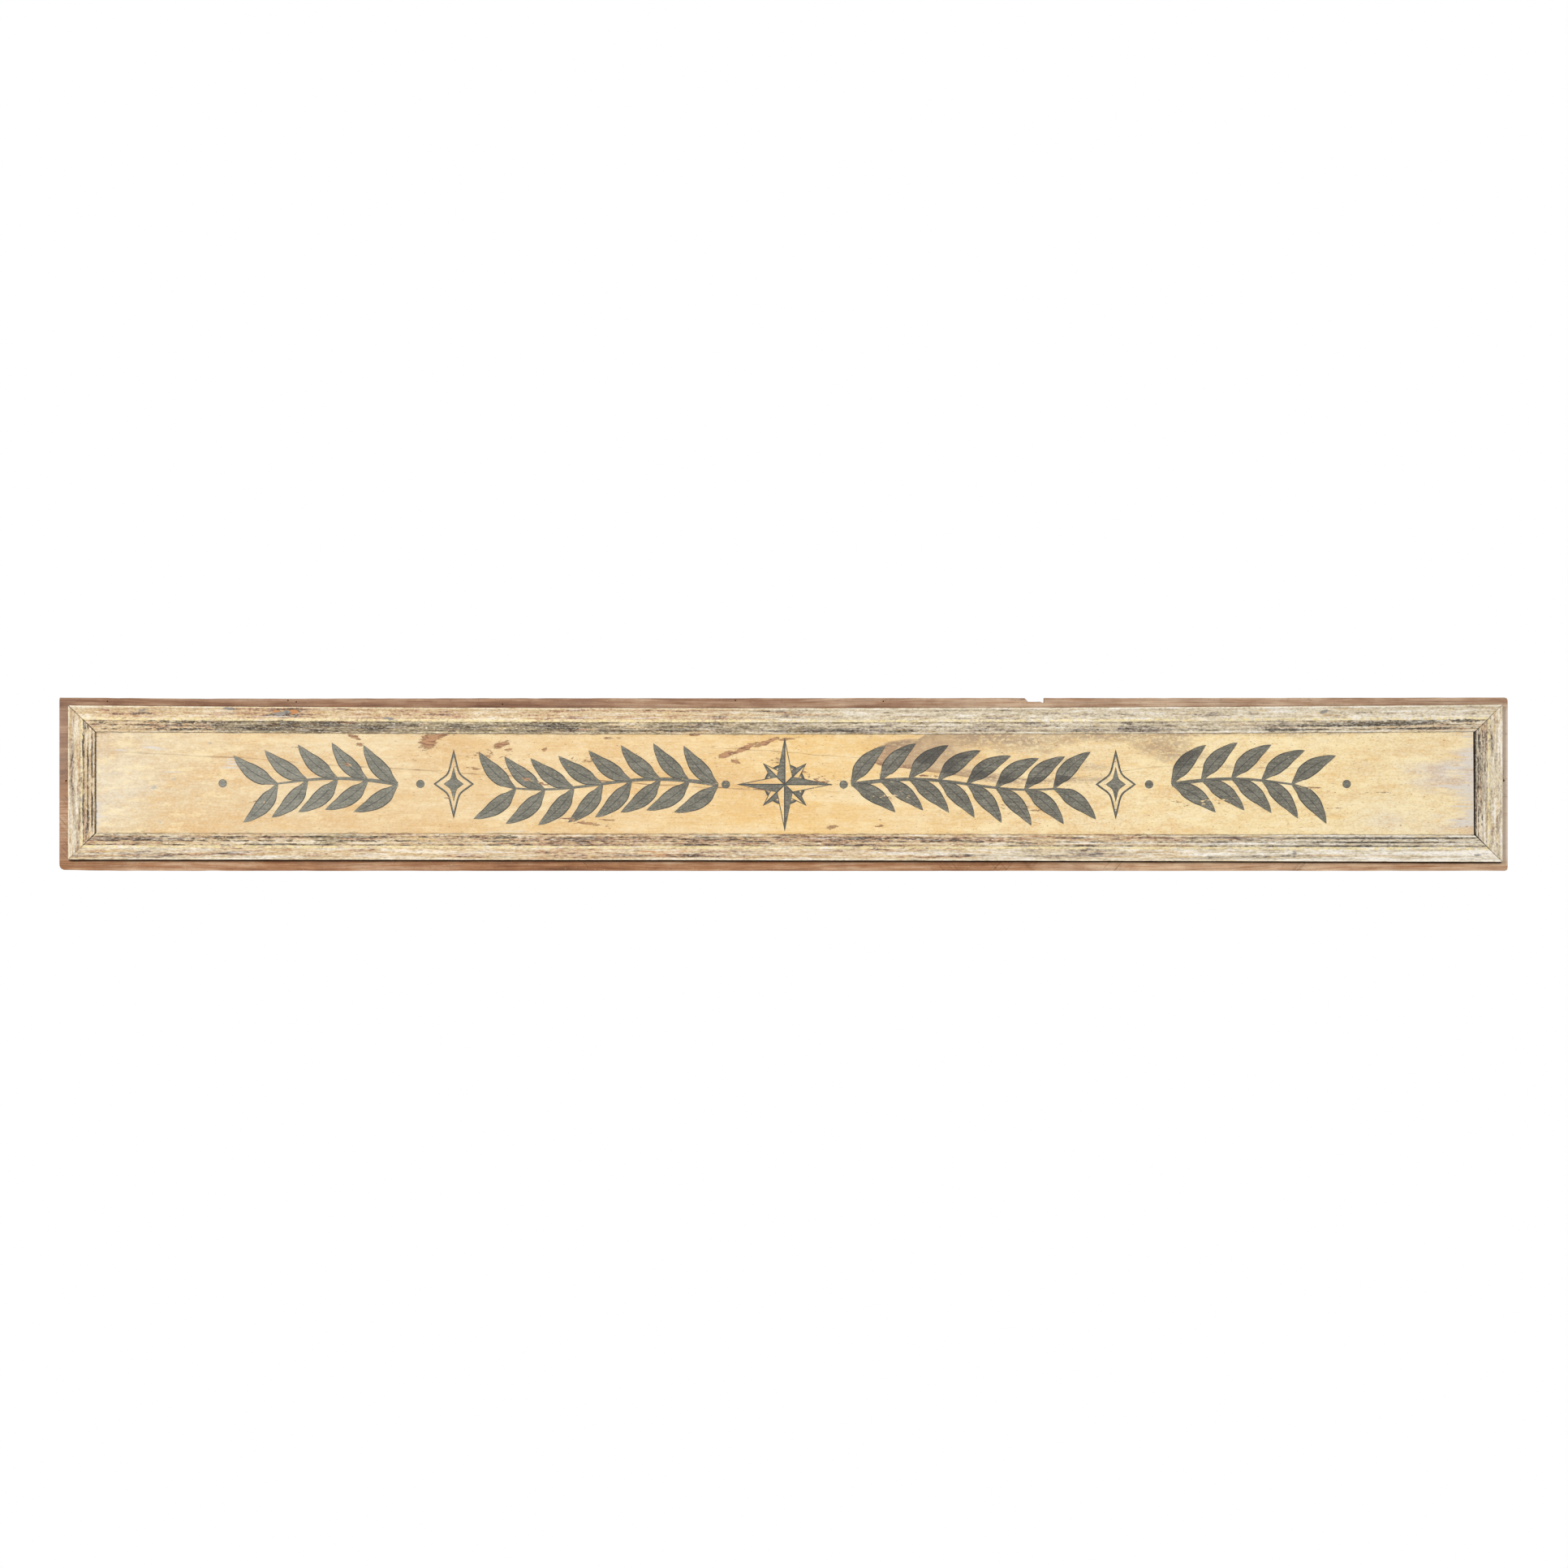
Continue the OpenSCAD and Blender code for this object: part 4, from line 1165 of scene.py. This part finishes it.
# The faces of the panel's front, its edges and its hidden back, and the points round its border in order
def panelFaces(columns, rows):
    perColumn = rows + 1
    faces = [(a, a + perColumn, a + perColumn + 1, a + 1)
             for i in range(columns) for a in range(i * perColumn, i * perColumn + rows)]
    border = [i * perColumn for i in range(columns + 1)]
    border += [columns * perColumn + j for j in range(1, rows + 1)]
    border += [i * perColumn + rows for i in range(columns - 1, -1, -1)]
    border += range(rows - 1, 0, -1)
    base, count = (columns + 1) * perColumn, len(border)
    for k in range(count):
        n = (k + 1) % count
        faces.append((border[n], border[k], base + k, base + n))
    top = 2 * columns + rows
    for i in range(1, columns - 1):
        faces.append((base + i, base + top - i, base + top - i - 1, base + i + 1))
    faces.append([base + k for k in [1, 0, *range(count - 1, top - 2, -1)]])
    faces.append([base + k for k in range(top - columns + 1, columns - 2, -1)])
    return faces, border


def makePanel(paint):
    plan = panelPlan
    lowX, lowZ, highX, highZ = panelLow[0], panelLow[2], panelHigh[0], panelHigh[2]
    columns, rows = (int(size / plan["spacing"]) for size in (highX - lowX, highZ - lowZ))
    x, z = np.meshgrid(np.linspace(lowX, highX, columns + 1), np.linspace(lowZ, highZ, rows + 1),
                       indexing="ij")
    x, z = x.ravel(), z.ravel()
    lowHere = (highZ - z) / (highZ - lowZ)
    nearEnd = np.clip((x - highX) / plan["taperReach"] + 1, 0, 1)
    taper = plan["endTaper"] * lowHere * nearEnd
    sunk = np.clip((spotField(x, z, plan["chips"]) - 0.3) * 3, 0, 1) * plan["chipDepth"]
    length, width = plan["grainSize"]
    grain = np.array([noise.noise((a / length, b / width, 0.0)) for a, b in zip(x, z)])
    front = panelFront + sunk + (grain * 0.5 + 0.5) * plan["grainDepth"]
    face = np.stack([x + taper, front, rackedHeight(x, z)], 1)
    faces, border = panelFaces(columns, rows)
    back = face[border].copy()
    back[:, 1] = boardFront
    panel = addObject("signPanel", newMesh("signPanel", np.concatenate([face, back]), faces=faces))
    panel.data.materials.append(paint)
    setPanelFields(panel.data)
    fromLeft = pointsOf(panel.data)[:, 0] - lowX
    heights = np.concatenate([z, z[border]])
    nearest = np.minimum(np.minimum(heights - lowZ, highZ - heights), fromLeft)
    seam = np.exp(-np.maximum(nearest, 0) / plan["seamWidth"]) * plan["seamStrength"]
    setField(panel.data, "seam", seam)
    finishPiece(panel, "ochre_paint", "sign_panel")


# Backing board

boardPlan = {
    "spacing": 3.5,
    "closest": 0.15,  # two cross-sections stand no nearer than this
    "endSteps": (0.35, 1.2, 2.2),  # extra ones this far from the ends
    "edgeSteps": (3.5, 6, 8.5, 11, 13.5, 16, 20, 30),  # the rows of points along the margins
    "depthSteps": (6, 11, 16),  # and down its thickness
    "middleRows": (-70, 0, 70),
    "backRows": 52,
    "cornerLowLeft": 9.0,  # how round the corners are worn
    "cornerRight": 5.0,
    "cornerTopLeft": 1.5,
    "arris": 1.2,
    "notch": [(406, 0), (411.5, 6), (432, 6), (435.5, 8), (438.8, 8), (439, 0)],  # x and how deep
    # how far the edges are worn away: x and depth, with a ripple of this length and seed
    "topEdge": [(-1219, 0.2), (-977, 2.2), (-500, 1.4), (0, 1.2), (700, 0.9), (1219, 0.2)],
    "lowEdge": [(-1219, 1.6), (-1150, 0.4), (-600, 0.1), (0, 0.0), (700, 0.1), (1219, 0.2)],
    "topRipple": (22, 1),
    "lowRipple": (30, 2),
    "rippleDepth": 0.5,
    "wearReach": 24,  # how far in from the edge the wear moves the rows
    "grainSize": (90, 6, 5),
    "backRelief": 0.5,
    "frontRelief": 0.3,
    "knots": [(-760, 38, 13), (-310, -62, 9), (120, 84, 11), (585, -24, 14), (1010, 52, 8),
              (-1080, -90, 8)],  # on the back: x, z and size
    "knotStretch": 1.5,
    # how far along and across a knot pushes the grain aside, and by how much, all in sizes of the knot
    "knotPush": (6, 2.2, 1.1),
    "grainSway": (380, 60, 14),  # how long and wide the sway of the grain is, and how far it goes
    # x, and how far down from the top
    "oldHoles": [(-1138, 6.5), (-834, 5), (-820, 7.5), (-473, 11.5), (-81, 5), (168, 6.5)],
    "holeWidth": 2.4,
    "holeDepth": 20,
    "endHoles": [(-1207.5, 6), (1212.5, 6)],  # x and z
    "endHoleWidth": 3.0,
    "holeSides": 14,
    "drillClear": 5,  # how far the drill stands out of the wood
    "rust": [(-1207, 4, 2.2, 4, 90, 0.95), (1211, 6, 2.4, 3, 0, 0.85)],
}


# The points of its cross-section, from the bottom of the front round to the bottom again
def boardRing():
    high, low, back = boardHigh[2], boardLow[2], 0.0
    arris = boardPlan["arris"]
    steps = [arris, *boardPlan["edgeSteps"]]
    depths = (arris, *boardPlan["depthSteps"], -boardFront - arris)
    ring = [(boardFront, low + d) for d in steps]
    ring += [(boardFront, z) for z in boardPlan["middleRows"]]
    ring += [(boardFront, high - d) for d in reversed(steps)]
    ring += [(boardFront + arris * 0.3, high - arris * 0.3)]
    ring += [(boardFront + d, high) for d in depths]
    ring += [(back - arris * 0.3, high - arris * 0.3)]
    ring += [(back, z) for z in np.linspace(high - arris, low + arris, boardPlan["backRows"])]
    ring += [(back - arris * 0.3, low + arris * 0.3)]
    ring += [(back - d, low) for d in depths]
    ring += [(boardFront + arris * 0.3, low + arris * 0.3)]
    return np.array(ring)


# How far a rounded corner falls away
def cornerDrop(fromEnd, radius):
    inside = np.clip(radius - fromEnd, 0, radius)
    return radius - np.sqrt(radius * radius - inside * inside)


# The x of each cross-section, with extra ones at the notch and close to the ends
def boardStations():
    plan = boardPlan
    low, high = boardLow[0], boardHigh[0]
    stations = {*np.arange(low, high, plan["spacing"]).tolist(), high, *(x for x, depth in plan["notch"])}
    for d in plan["endSteps"]:
        stations |= {low + d, high - d}
    stations = np.array(sorted(stations))
    stations = stations[np.concatenate([[True], np.diff(stations) > plan["closest"]])]
    stations[-1] = high
    return stations


# How far the top or low edge is worn away at each station
def edgeWear(stations, side, leftCorner, broken=0.0):
    plan = boardPlan
    reach, seed = plan[side + "Ripple"]
    ripple = (wander(stations, reach, seed) - 0.5) * plan["rippleDepth"]
    worn = np.maximum(np.interp(stations, *zip(*plan[side + "Edge"])) + ripple + broken, 0)
    fromLeft, fromRight = stations - boardLow[0], boardHigh[0] - stations
    return worn + cornerDrop(fromLeft, leftCorner) + cornerDrop(fromRight, plan["cornerRight"])


def makeBoard(wood):
    plan = boardPlan
    stations, ring = boardStations(), boardRing()
    notch = np.interp(stations, *zip(*plan["notch"]), left=0, right=0)
    drop = edgeWear(stations, "top", plan["cornerTopLeft"], notch)
    rise = edgeWear(stations, "low", plan["cornerLowLeft"])
    inset = cornerDrop(np.minimum(stations - boardLow[0], boardHigh[0] - stations), plan["arris"])
    nearTop, nearLow = (np.clip(1 - away / plan["wearReach"], 0, 1)
                        for away in (boardHigh[2] - ring[:, 1], ring[:, 1] - boardLow[2]))
    points = []
    for x, down, up, shrink in zip(stations, drop, rise, inset):
        z = ring[:, 1] - down * nearTop + up * nearLow - shrink * np.sign(ring[:, 1])
        y = ring[:, 0] - shrink * np.sign(ring[:, 0] - boardFront / 2)
        points.append(np.stack([np.full(len(ring), x), y, z], 1))
    points = np.concatenate(points)
    # soft grain lines stand proud, always inside the sawn size
    rough = np.array([noise.noise(p / plan["grainSize"]) for p in points]) * 0.5 + 0.5
    isBack = points[:, 1] > -1.0
    isFront = points[:, 1] < boardFront + 1.0
    points[:, 1] += rough * (isFront * plan["frontRelief"] - isBack * plan["backRelief"])
    count, last = len(ring), (len(stations) - 1) * len(ring)
    faces = []
    for start in range(0, last, count):
        for j in range(count):
            n = (j + 1) % count
            faces.append((start + j, start + count + j, start + count + n, start + n))
    faces += [tuple(range(count)), tuple(last + j for j in reversed(range(count)))]
    board = addObject("backingBoard", newMesh("backingBoard", points, faces=faces))
    board.data.materials.append(wood)
    through = plan["drillClear"] - boardFront
    holes = [(x, z, plan["endHoleWidth"], through) for x, z in plan["endHoles"]]
    holes += [(x, boardHigh[2] - down, plan["holeWidth"], plan["holeDepth"])
              for x, down in plan["oldHoles"]]
    drillHoles(board, holes)
    setBoardFields(board.data)
    finishPiece(board, "bare_wood", "backing_board")


# Holes straight in from the front: x, z, width, depth
def drillHoles(piece, holes):
    clear = boardPlan["drillClear"]
    turn = Vector((0, 1, 0)).to_track_quat("Z", "Y").to_matrix()
    shape = bmesh.new()
    for x, z, width, depth in holes:
        radius = width / 2 / metre
        made = bmesh.ops.create_cone(shape, cap_ends=True, segments=boardPlan["holeSides"],
                                     radius1=radius, radius2=radius, depth=(depth + clear) / metre)
        bmesh.ops.rotate(shape, verts=made["verts"], cent=(0, 0, 0), matrix=turn)
        place = Vector((x, boardFront + (depth - clear) / 2, z)) / metre
        bmesh.ops.translate(shape, verts=made["verts"], vec=place)
    mesh = bpy.data.meshes.new("drill")
    shape.to_mesh(mesh)
    shape.free()
    drill = addObject("drill", mesh)
    cut = piece.modifiers.new("drill", "BOOLEAN")
    cut.object = drill
    cut.operation = "DIFFERENCE"
    cut.solver = "EXACT"
    settle(piece)
    bpy.data.objects.remove(drill)
    bpy.data.meshes.remove(mesh)


# Where the knots push the grain aside, and how far each point is from the moulding
def setBoardFields(mesh):
    plan = boardPlan
    points = pointsOf(mesh)
    x, y, z = points.T
    length, width, sway = plan["grainSway"]
    shift = np.array([noise.noise((a / length, 3.0, b / width)) for a, b in zip(x, z)]) * sway
    pushAlong, pushAcross, push = plan["knotPush"]
    far = 99.0
    nearest = np.full(len(x), far)
    for knotX, knotZ, size in plan["knots"]:
        along, across = x - knotX, z - knotZ
        near = np.exp(-((along / (size * pushAlong)) ** 2) - (across / (size * pushAcross)) ** 2)
        shift -= push * size * near * np.clip(across / 4, -1, 1)
        away = np.sqrt((along / plan["knotStretch"]) ** 2 + across ** 2)
        nearest = np.minimum(nearest, away + pinePlan["knotEdge"] - size)
    setField(mesh, "grainShift", shift)
    setField(mesh, "knot", np.where(y > -1.5, nearest, far))
    lowEdge = rackedHeight(x, np.full(len(x), frameLow[1]))
    topEdge = rackedHeight(x, np.full(len(x), frameHigh[1]))
    outside = np.stack([lowEdge - z, z - topEdge, frameLow[0] - x, x - frameHigh[0]]).max(0)
    setField(mesh, "awayFromFrame", np.where(y < boardFront + 1.5, outside, far))
    setField(mesh, "rust", spotField(x, z, plan["rust"]) * (y < boardFront + 3))


# Ornament in sign paint: laurel sprays each side of a compass star

ornamentPlan = {
    "middle": (2.0, 0.0),
    "levels": (0.2, 0.26, 0.32),  # how far the three coats stand above the panel
    "starPoints": [(45, 52, 1), (0, 81, 2)],  # turn, length and coat of its short and long points
    "starWaist": 19,
    "ringRadius": 35,
    "ringWidth": 5,
    "sprays": [(112, 452), (650, 852)],  # where each stem starts and ends, from the middle
    "stemPoints": 60,
    "stemWidth": 7,
    "stemTaper": (0.5, 0.22),
    "stemSwing": 9,
    "swingLength": 400,
    "leafLength": 88,
    "leafWidth": 27,
    "leafBend": 0.14,  # of its length
    "leafShape": [(0, 0.1), (0.16, 0.5), (0.42, 1.0), (0.74, 0.64), (1, 0.01)],  # its width along it
    "leafPoints": 16,
    "leafSpacing": 46,
    "leafAngle": 41,
    "lozengePlaces": [556],
    "lozenges": [((34, 60), 3.0, 0, True), ((17, 30), 1.0, 1, False)],  # size, rim, coat, pale inside
    "lozengePull": 0.36,  # how far its sides curve in
    "beadPlaces": [99, 612, 944],
    "beadSize": 7,
    "brushRim": 1.3,  # the heavy edge that the brush left round the points and beads
    "paleStep": 0.2,  # over which a rim gives way to the panel's colour
    "sides": (72, 40, 20),  # of the ring, a lozenge and a bead
}


# Points and edges of the waving stems
def stemRoutes():
    plan = ornamentPlan
    points, edges = [], []
    middleX, middleZ = plan["middle"]
    count = plan["stemPoints"]
    for side in (-1, 1):
        for start, end in plan["sprays"]:
            base = len(points)
            for i in range(count + 1):
                away = start + (end - start) * i / count
                rise = math.sin(math.tau * (away - start) / plan["swingLength"]) * plan["stemSwing"]
                points.append((middleX + side * away, middleZ + rise))
            edges += [(base + i, base + i + 1) for i in range(count)]
    return points, edges


# Half the section of a brush stroke: place across it, 1 under or -1 on top, and how heavy the paint lies
strokeHalf = [(1.0, 1.0, 1.0), (1.0, -0.6, 1.0), (0.95, -1.0, 1.0), (0.81, -1.0, 0.0), (0.1, -1.0, 0.0)]


def strokeSection():
    rows = strokeHalf + [(0.0, -1.0, 0.9)] + [(-x, y, rim) for x, y, rim in reversed(strokeHalf)]
    mesh = bpy.data.meshes.new("strokeSection")
    count = len(rows)
    mesh.from_pydata([(x, y, 0) for x, y, rim in rows], [(i, (i + 1) % count) for i in range(count)], [])
    setField(mesh, "rim", [rim for x, y, rim in rows])
    return bpy.data.objects.new("strokeSection", mesh)


# Leaves in pairs along tapering stems, each coat of paint flattened to its own level
def sprayTree(holder):
    tree, given = startTree("laurelSpray", [
        ("Stem width", "Float"), ("Leaf length", "Float"), ("Leaf width", "Float"),
        ("Leaf bend", "Float"), ("Leaf spacing", "Float"), ("Leaf angle", "Float"),
        ("Levels", "Vector"), ("Face", "Float"), ("Paint", "Material"),
    ])
    section = addNode(tree, "GeometryNodeObjectInfo", {"Object": holder}, out="Geometry")
    section = addNode(tree, "GeometryNodeMeshToCurve", {0: section})
    stems = addNode(tree, "GeometryNodeMeshToCurve", {0: given["Geometry"]})
    along = addNode(tree, "GeometryNodeSplineParameter", out="Factor")
    place = addNode(tree, "GeometryNodeInputPosition")
    axes = addNode(tree, "ShaderNodeSeparateXYZ", {0: place}, out=None).outputs
    isTop = addNode(tree, "FunctionNodeCompare", {0: axes[2], 1: 0.0}, operation="GREATER_THAN")
    levels = addNode(tree, "ShaderNodeSeparateXYZ", {0: given["Levels"]}, out=None).outputs

    def stroke(curve, radius, level):
        made = addNode(tree, "GeometryNodeCurveToMesh",
                       {0: curve, "Profile Curve": section, "Scale": radius, "Fill Caps": True})
        made = addNode(tree, "GeometryNodeFlipFaces", {0: made})
        height = addNode(tree, "ShaderNodeMath", {0: isTop, 1: level}, operation="MULTIPLY")
        flat = addNode(tree, "ShaderNodeCombineXYZ", {0: axes[0], 1: axes[1], 2: height})
        return addNode(tree, "GeometryNodeSetPosition", {0: made, "Position": flat})

    thick, thin = ornamentPlan["stemTaper"]
    taper = addNode(tree, "ShaderNodeMapRange", {"Value": along, "To Min": thick, "To Max": thin})
    parts = [stroke(stems, multiply(tree, given["Stem width"], taper), levels[0])]
    half = multiply(tree, given["Leaf length"], 0.5)
    bend = multiply(tree, given["Leaf length"], given["Leaf bend"])
    leaf = addNode(tree, "GeometryNodeCurveQuadraticBezier", {
        "Resolution": ornamentPlan["leafPoints"], "Start": (0, 0, 0),
        "Middle": addNode(tree, "ShaderNodeCombineXYZ", {0: half, 1: bend}),
        "End": addNode(tree, "ShaderNodeCombineXYZ", {0: given["Leaf length"]}),
    })
    shape = addNode(tree, "ShaderNodeFloatCurve", {"Value": along}, out=None)
    curve = shape.mapping.curves[0]
    first, *between, last = ornamentPlan["leafShape"]
    curve.points[0].location, curve.points[1].location = first, last
    for where in between:
        curve.points.new(*where)
    shape.mapping.update()
    leafRadius = multiply(tree, shape.outputs[0], given["Leaf width"], 0.5)
    buds = addNode(tree, "GeometryNodeCurveToPoints", {0: stems, "Length": given["Leaf spacing"]},
                   out=None, mode="LENGTH")
    facing = addNode(tree, "FunctionNodeAlignRotationToVector", {"Vector": buds.outputs["Tangent"]},
                     axis="X", pivot_axis="Z")
    angle = addNode(tree, "ShaderNodeMath", {0: given["Leaf angle"]}, operation="RADIANS")
    for turn, level in ((1.0, levels[1]), (-1.0, levels[2])):
        swing = addNode(tree, "ShaderNodeCombineXYZ", {2: multiply(tree, angle, turn)})
        turned = addNode(tree, "FunctionNodeRotateRotation", {0: facing, 1: swing},
                         rotation_space="LOCAL")
        parts.append(addNode(tree, "GeometryNodeInstanceOnPoints", {
            0: buds.outputs["Points"], "Instance": stroke(leaf, leafRadius, level), "Rotation": turned,
        }))
    joined = addNode(tree, "GeometryNodeJoinGeometry", out=None)
    for part in reversed(parts):
        tree.links.new(part, joined.inputs[0])
    onPanel = addNode(tree, "ShaderNodeCombineXYZ", {1: given["Face"]})
    whole = addNode(tree, "GeometryNodeTransform", {
        0: joined.outputs[0], "Rotation": (math.radians(90), 0, 0), "Translation": onPanel})
    return finishTree(tree, whole, given["Paint"])


def makeSprays(paint):
    plan = ornamentPlan
    points, edges = stemRoutes()
    piece = addObject("laurelSprays", newMesh("laurelSprays", [(x, z, 0) for x, z in points], edges))
    holder = strokeSection()
    grow(piece, sprayTree(holder), {
        "Stem width": plan["stemWidth"] / metre,
        "Leaf length": plan["leafLength"] / metre,
        "Leaf width": plan["leafWidth"] / metre,
        "Leaf bend": plan["leafBend"],
        "Leaf spacing": plan["leafSpacing"] / metre,
        "Leaf angle": float(plan["leafAngle"]),
        "Levels": [level / metre for level in plan["levels"]],
        "Face": panelFront / metre,
        "Paint": paint,
    })
    bpy.data.objects.remove(holder)
    return piece


# A flat painted shape from its outline, with a heavy rim and, if pale, the panel's colour inside it
def addShape(shape, outline, rim, coat, pale=False):
    area = sum(a[0] * b[1] - b[0] * a[1] for a, b in zip(outline, outline[1:] + outline[:1]))
    if area < 0:
        outline = outline[::-1]
    isRim, isPale = (shape.verts.layers.float[name] for name in ("rim", "pale"))
    level = ornamentPlan["levels"][coat]
    front, back = ([shape.verts.new(Vector((x, y, z)) / metre) for x, z in outline]
                   for y in (panelFront - level, panelFront))
    for vert in front:
        vert[isRim] = 1.0
    face = shape.faces.new(front)
    shape.faces.new(back[::-1])
    for i in range(len(front)):
        n = (i + 1) % len(front)
        shape.faces.new((front[n], front[i], back[i], back[n]))
    shape.normal_update()
    bmesh.ops.inset_region(shape, faces=[face], thickness=rim / metre, use_even_offset=True)
    for vert in face.verts:
        vert[isRim] = 0.0
    if pale:
        bmesh.ops.inset_region(shape, faces=[face], thickness=ornamentPlan["paleStep"] / metre,
                               use_even_offset=True)
        for vert in face.verts:
            vert[isPale] = 1.0


# Points round an oval, or round a lozenge whose four sides are pulled in
def ringOutline(middle, radiusX, radiusZ, count, pull=0.0):
    outline = []
    for i in range(count):
        t = 4 * i / count % 1
        a, b = (math.tau * (4 * i // count + step) / 4 for step in (0, 1))
        if pull:
            scale = 1 - pull * math.sin(math.pi * t)
            across = (math.cos(a) * (1 - t) + math.cos(b) * t) * scale
            up = (math.sin(a) * (1 - t) + math.sin(b) * t) * scale
        else:
            across, up = math.cos(math.tau * i / count), math.sin(math.tau * i / count)
        outline.append((middle[0] + radiusX * across, middle[1] + radiusZ * up))
    return outline


def makeStar(paint):
    plan = ornamentPlan
    middle = plan["middle"]
    ringSides, lozengeSides, beadSides = plan["sides"]
    shape = bmesh.new()
    for name in ("rim", "pale"):
        shape.verts.layers.float.new(name)
    ring = plan["ringRadius"]
    addShape(shape, ringOutline(middle, ring, ring, ringSides), plan["ringWidth"], 0, True)
    for turn, tip, coat in plan["starPoints"]:
        for i in range(4):
            angle = math.radians(90 * i + turn)
            for side in (1, -1):
                corner = angle + side * math.radians(45)
                outline = [(middle[0] + reach * math.cos(a), middle[1] + reach * math.sin(a))
                           for reach, a in ((0, 0), (tip, angle), (plan["starWaist"], corner))]
                addShape(shape, outline, plan["brushRim"], coat, side < 0)
    for side in (-1, 1):
        for distance in plan["lozengePlaces"]:
            place = (middle[0] + side * distance, middle[1])
            for size, rim, coat, pale in plan["lozenges"]:
                outline = ringOutline(place, *size, lozengeSides, plan["lozengePull"])
                addShape(shape, outline, rim, coat, pale)
        for distance in plan["beadPlaces"]:
            place = (middle[0] + side * distance, middle[1])
            size = plan["beadSize"]
            addShape(shape, ringOutline(place, size, size, beadSides), plan["brushRim"], 0)
    mesh = bpy.data.meshes.new("compassStar")
    shape.to_mesh(mesh)
    shape.free()
    mesh.materials.append(paint)
    return addObject("compassStar", mesh)


def makeOrnament():
    paint = chalkedBlackPaint()
    for piece in (makeSprays(paint), makeStar(paint)):
        rack(piece.data)
        setPanelFields(piece.data)
        finishPiece(piece, "black_paint")


# Nails

nailPlan = {
    # width of the shank and height of the head
    "moulding": (2.0, 1.6),
    "mitre": (1.6, 0.8),
    "panel": (1.8, 0.8),
    "sides": 14,
    "tipRadius": 0.1,
    "pointLength": 4.0,
    "headSlope": 0.85,  # the top of a head over its underside
    "panelHeadSunk": 0.6,  # the stopping and paint over the heads in the panel
}


# A head, a shank and a point along +Z from the point, set at each of the piece's points
def nailTree():
    tree, given = startTree("wireNail", [
        ("Length", "Float"), ("Shank radius", "Float"), ("Head radius", "Float"),
        ("Head height", "Float"), ("Head slope", "Float"), ("Point length", "Float"),
        ("Tip radius", "Float"), ("Steel", "Material"),
    ])
    shank = addUp(tree, given["Length"], [(given["Head height"], -1.0), (given["Point length"], -1.0)])
    headStart = addUp(tree, given["Length"], [(given["Head height"], -1.0)])
    top = multiply(tree, given["Head radius"], given["Head slope"])
    joined = addNode(tree, "GeometryNodeJoinGeometry", out=None)
    for depth, low, high, start in (
        (given["Point length"], given["Tip radius"], given["Shank radius"], 0.0),
        (shank, given["Shank radius"], given["Shank radius"], given["Point length"]),
        (given["Head height"], given["Head radius"], top, headStart),
    ):
        part = addNode(tree, "GeometryNodeMeshCone",
                       {"Vertices": nailPlan["sides"], "Radius Bottom": low, "Radius Top": high,
                        "Depth": depth})
        rise = addNode(tree, "ShaderNodeCombineXYZ", {2: start})
        part = addNode(tree, "GeometryNodeTransform", {0: part, "Translation": rise})
        tree.links.new(part, joined.inputs[0])
    aim = addNode(tree, "GeometryNodeInputNamedAttribute", {"Name": "aim"}, data_type="FLOAT_VECTOR")
    turned = addNode(tree, "FunctionNodeAlignRotationToVector", {"Vector": aim}, axis="Z")
    points = addNode(tree, "GeometryNodeMeshToPoints", {0: given["Geometry"]})
    nails = addNode(tree, "GeometryNodeInstanceOnPoints",
                    {0: points, "Instance": joined.outputs[0], "Rotation": turned})
    return finishTree(tree, nails, given["Steel"])


# The low and high corner of each separate nail of a node, in order
def looseBoxes(mesh):
    shape = bmesh.new()
    shape.from_mesh(mesh)
    bmesh.ops.remove_doubles(shape, verts=shape.verts, dist=1e-6)
    left, boxes = set(shape.verts), []
    while left:
        stack = [left.pop()]
        found = []
        while stack:
            vert = stack.pop()
            found.append(vert.co * metre)
            near = {other for edge in vert.link_edges for other in edge.verts} & left
            left -= near
            stack += near
        boxes.append([np.array([f(p[k] for p in found) for k in range(3)]) for f in (min, max)])
    shape.free()
    return sorted(boxes, key=lambda box: tuple(box[0]))


def makeNails():
    steel, tree = rustedSteel(), nailTree()
    for name in [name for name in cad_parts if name.endswith("nails")]:
        kind = name.split("_")[0]
        shankWidth, headHeight = nailPlan[kind]
        boxes = looseBoxes(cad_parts[name].data)
        size = boxes[0][1] - boxes[0][0]
        axis = int(np.argmax(size))
        sunk = nailPlan["panelHeadSunk"] if kind == "panel" else 0.0
        tips, aims = [], []
        for low, high in boxes:
            tip = (low + high) / 2
            # a nail's head faces the front, or out of the frame's edge
            outward = np.sign(tip[axis]) if axis == 2 else -1.0
            tip[axis] = low[axis] if outward > 0 else high[axis]
            tips.append(tip)
            aims.append(np.eye(3)[axis] * outward)
        mesh = newMesh(name, tips)
        setField(mesh, "aim", np.transpose(aims))
        piece = addObject(name[0] + name.title().replace("_", "")[1:], mesh)
        grow(piece, tree, {
            "Length": (size[axis] - sunk) / metre,
            "Shank radius": shankWidth / 2 / metre,
            "Head radius": float(np.median(size)) / 2 / metre,
            "Head height": headHeight / metre,
            "Head slope": nailPlan["headSlope"],
            "Point length": nailPlan["pointLength"] / metre,
            "Tip radius": nailPlan["tipRadius"] / metre,
            "Steel": steel,
        })
        finishPiece(piece, "rusty_steel", name)


makeMouldings()
makePanel(flakingOchrePaint())
makeBoard(weatheredPine())
makeOrnament()
makeNails()
print("all pieces made")
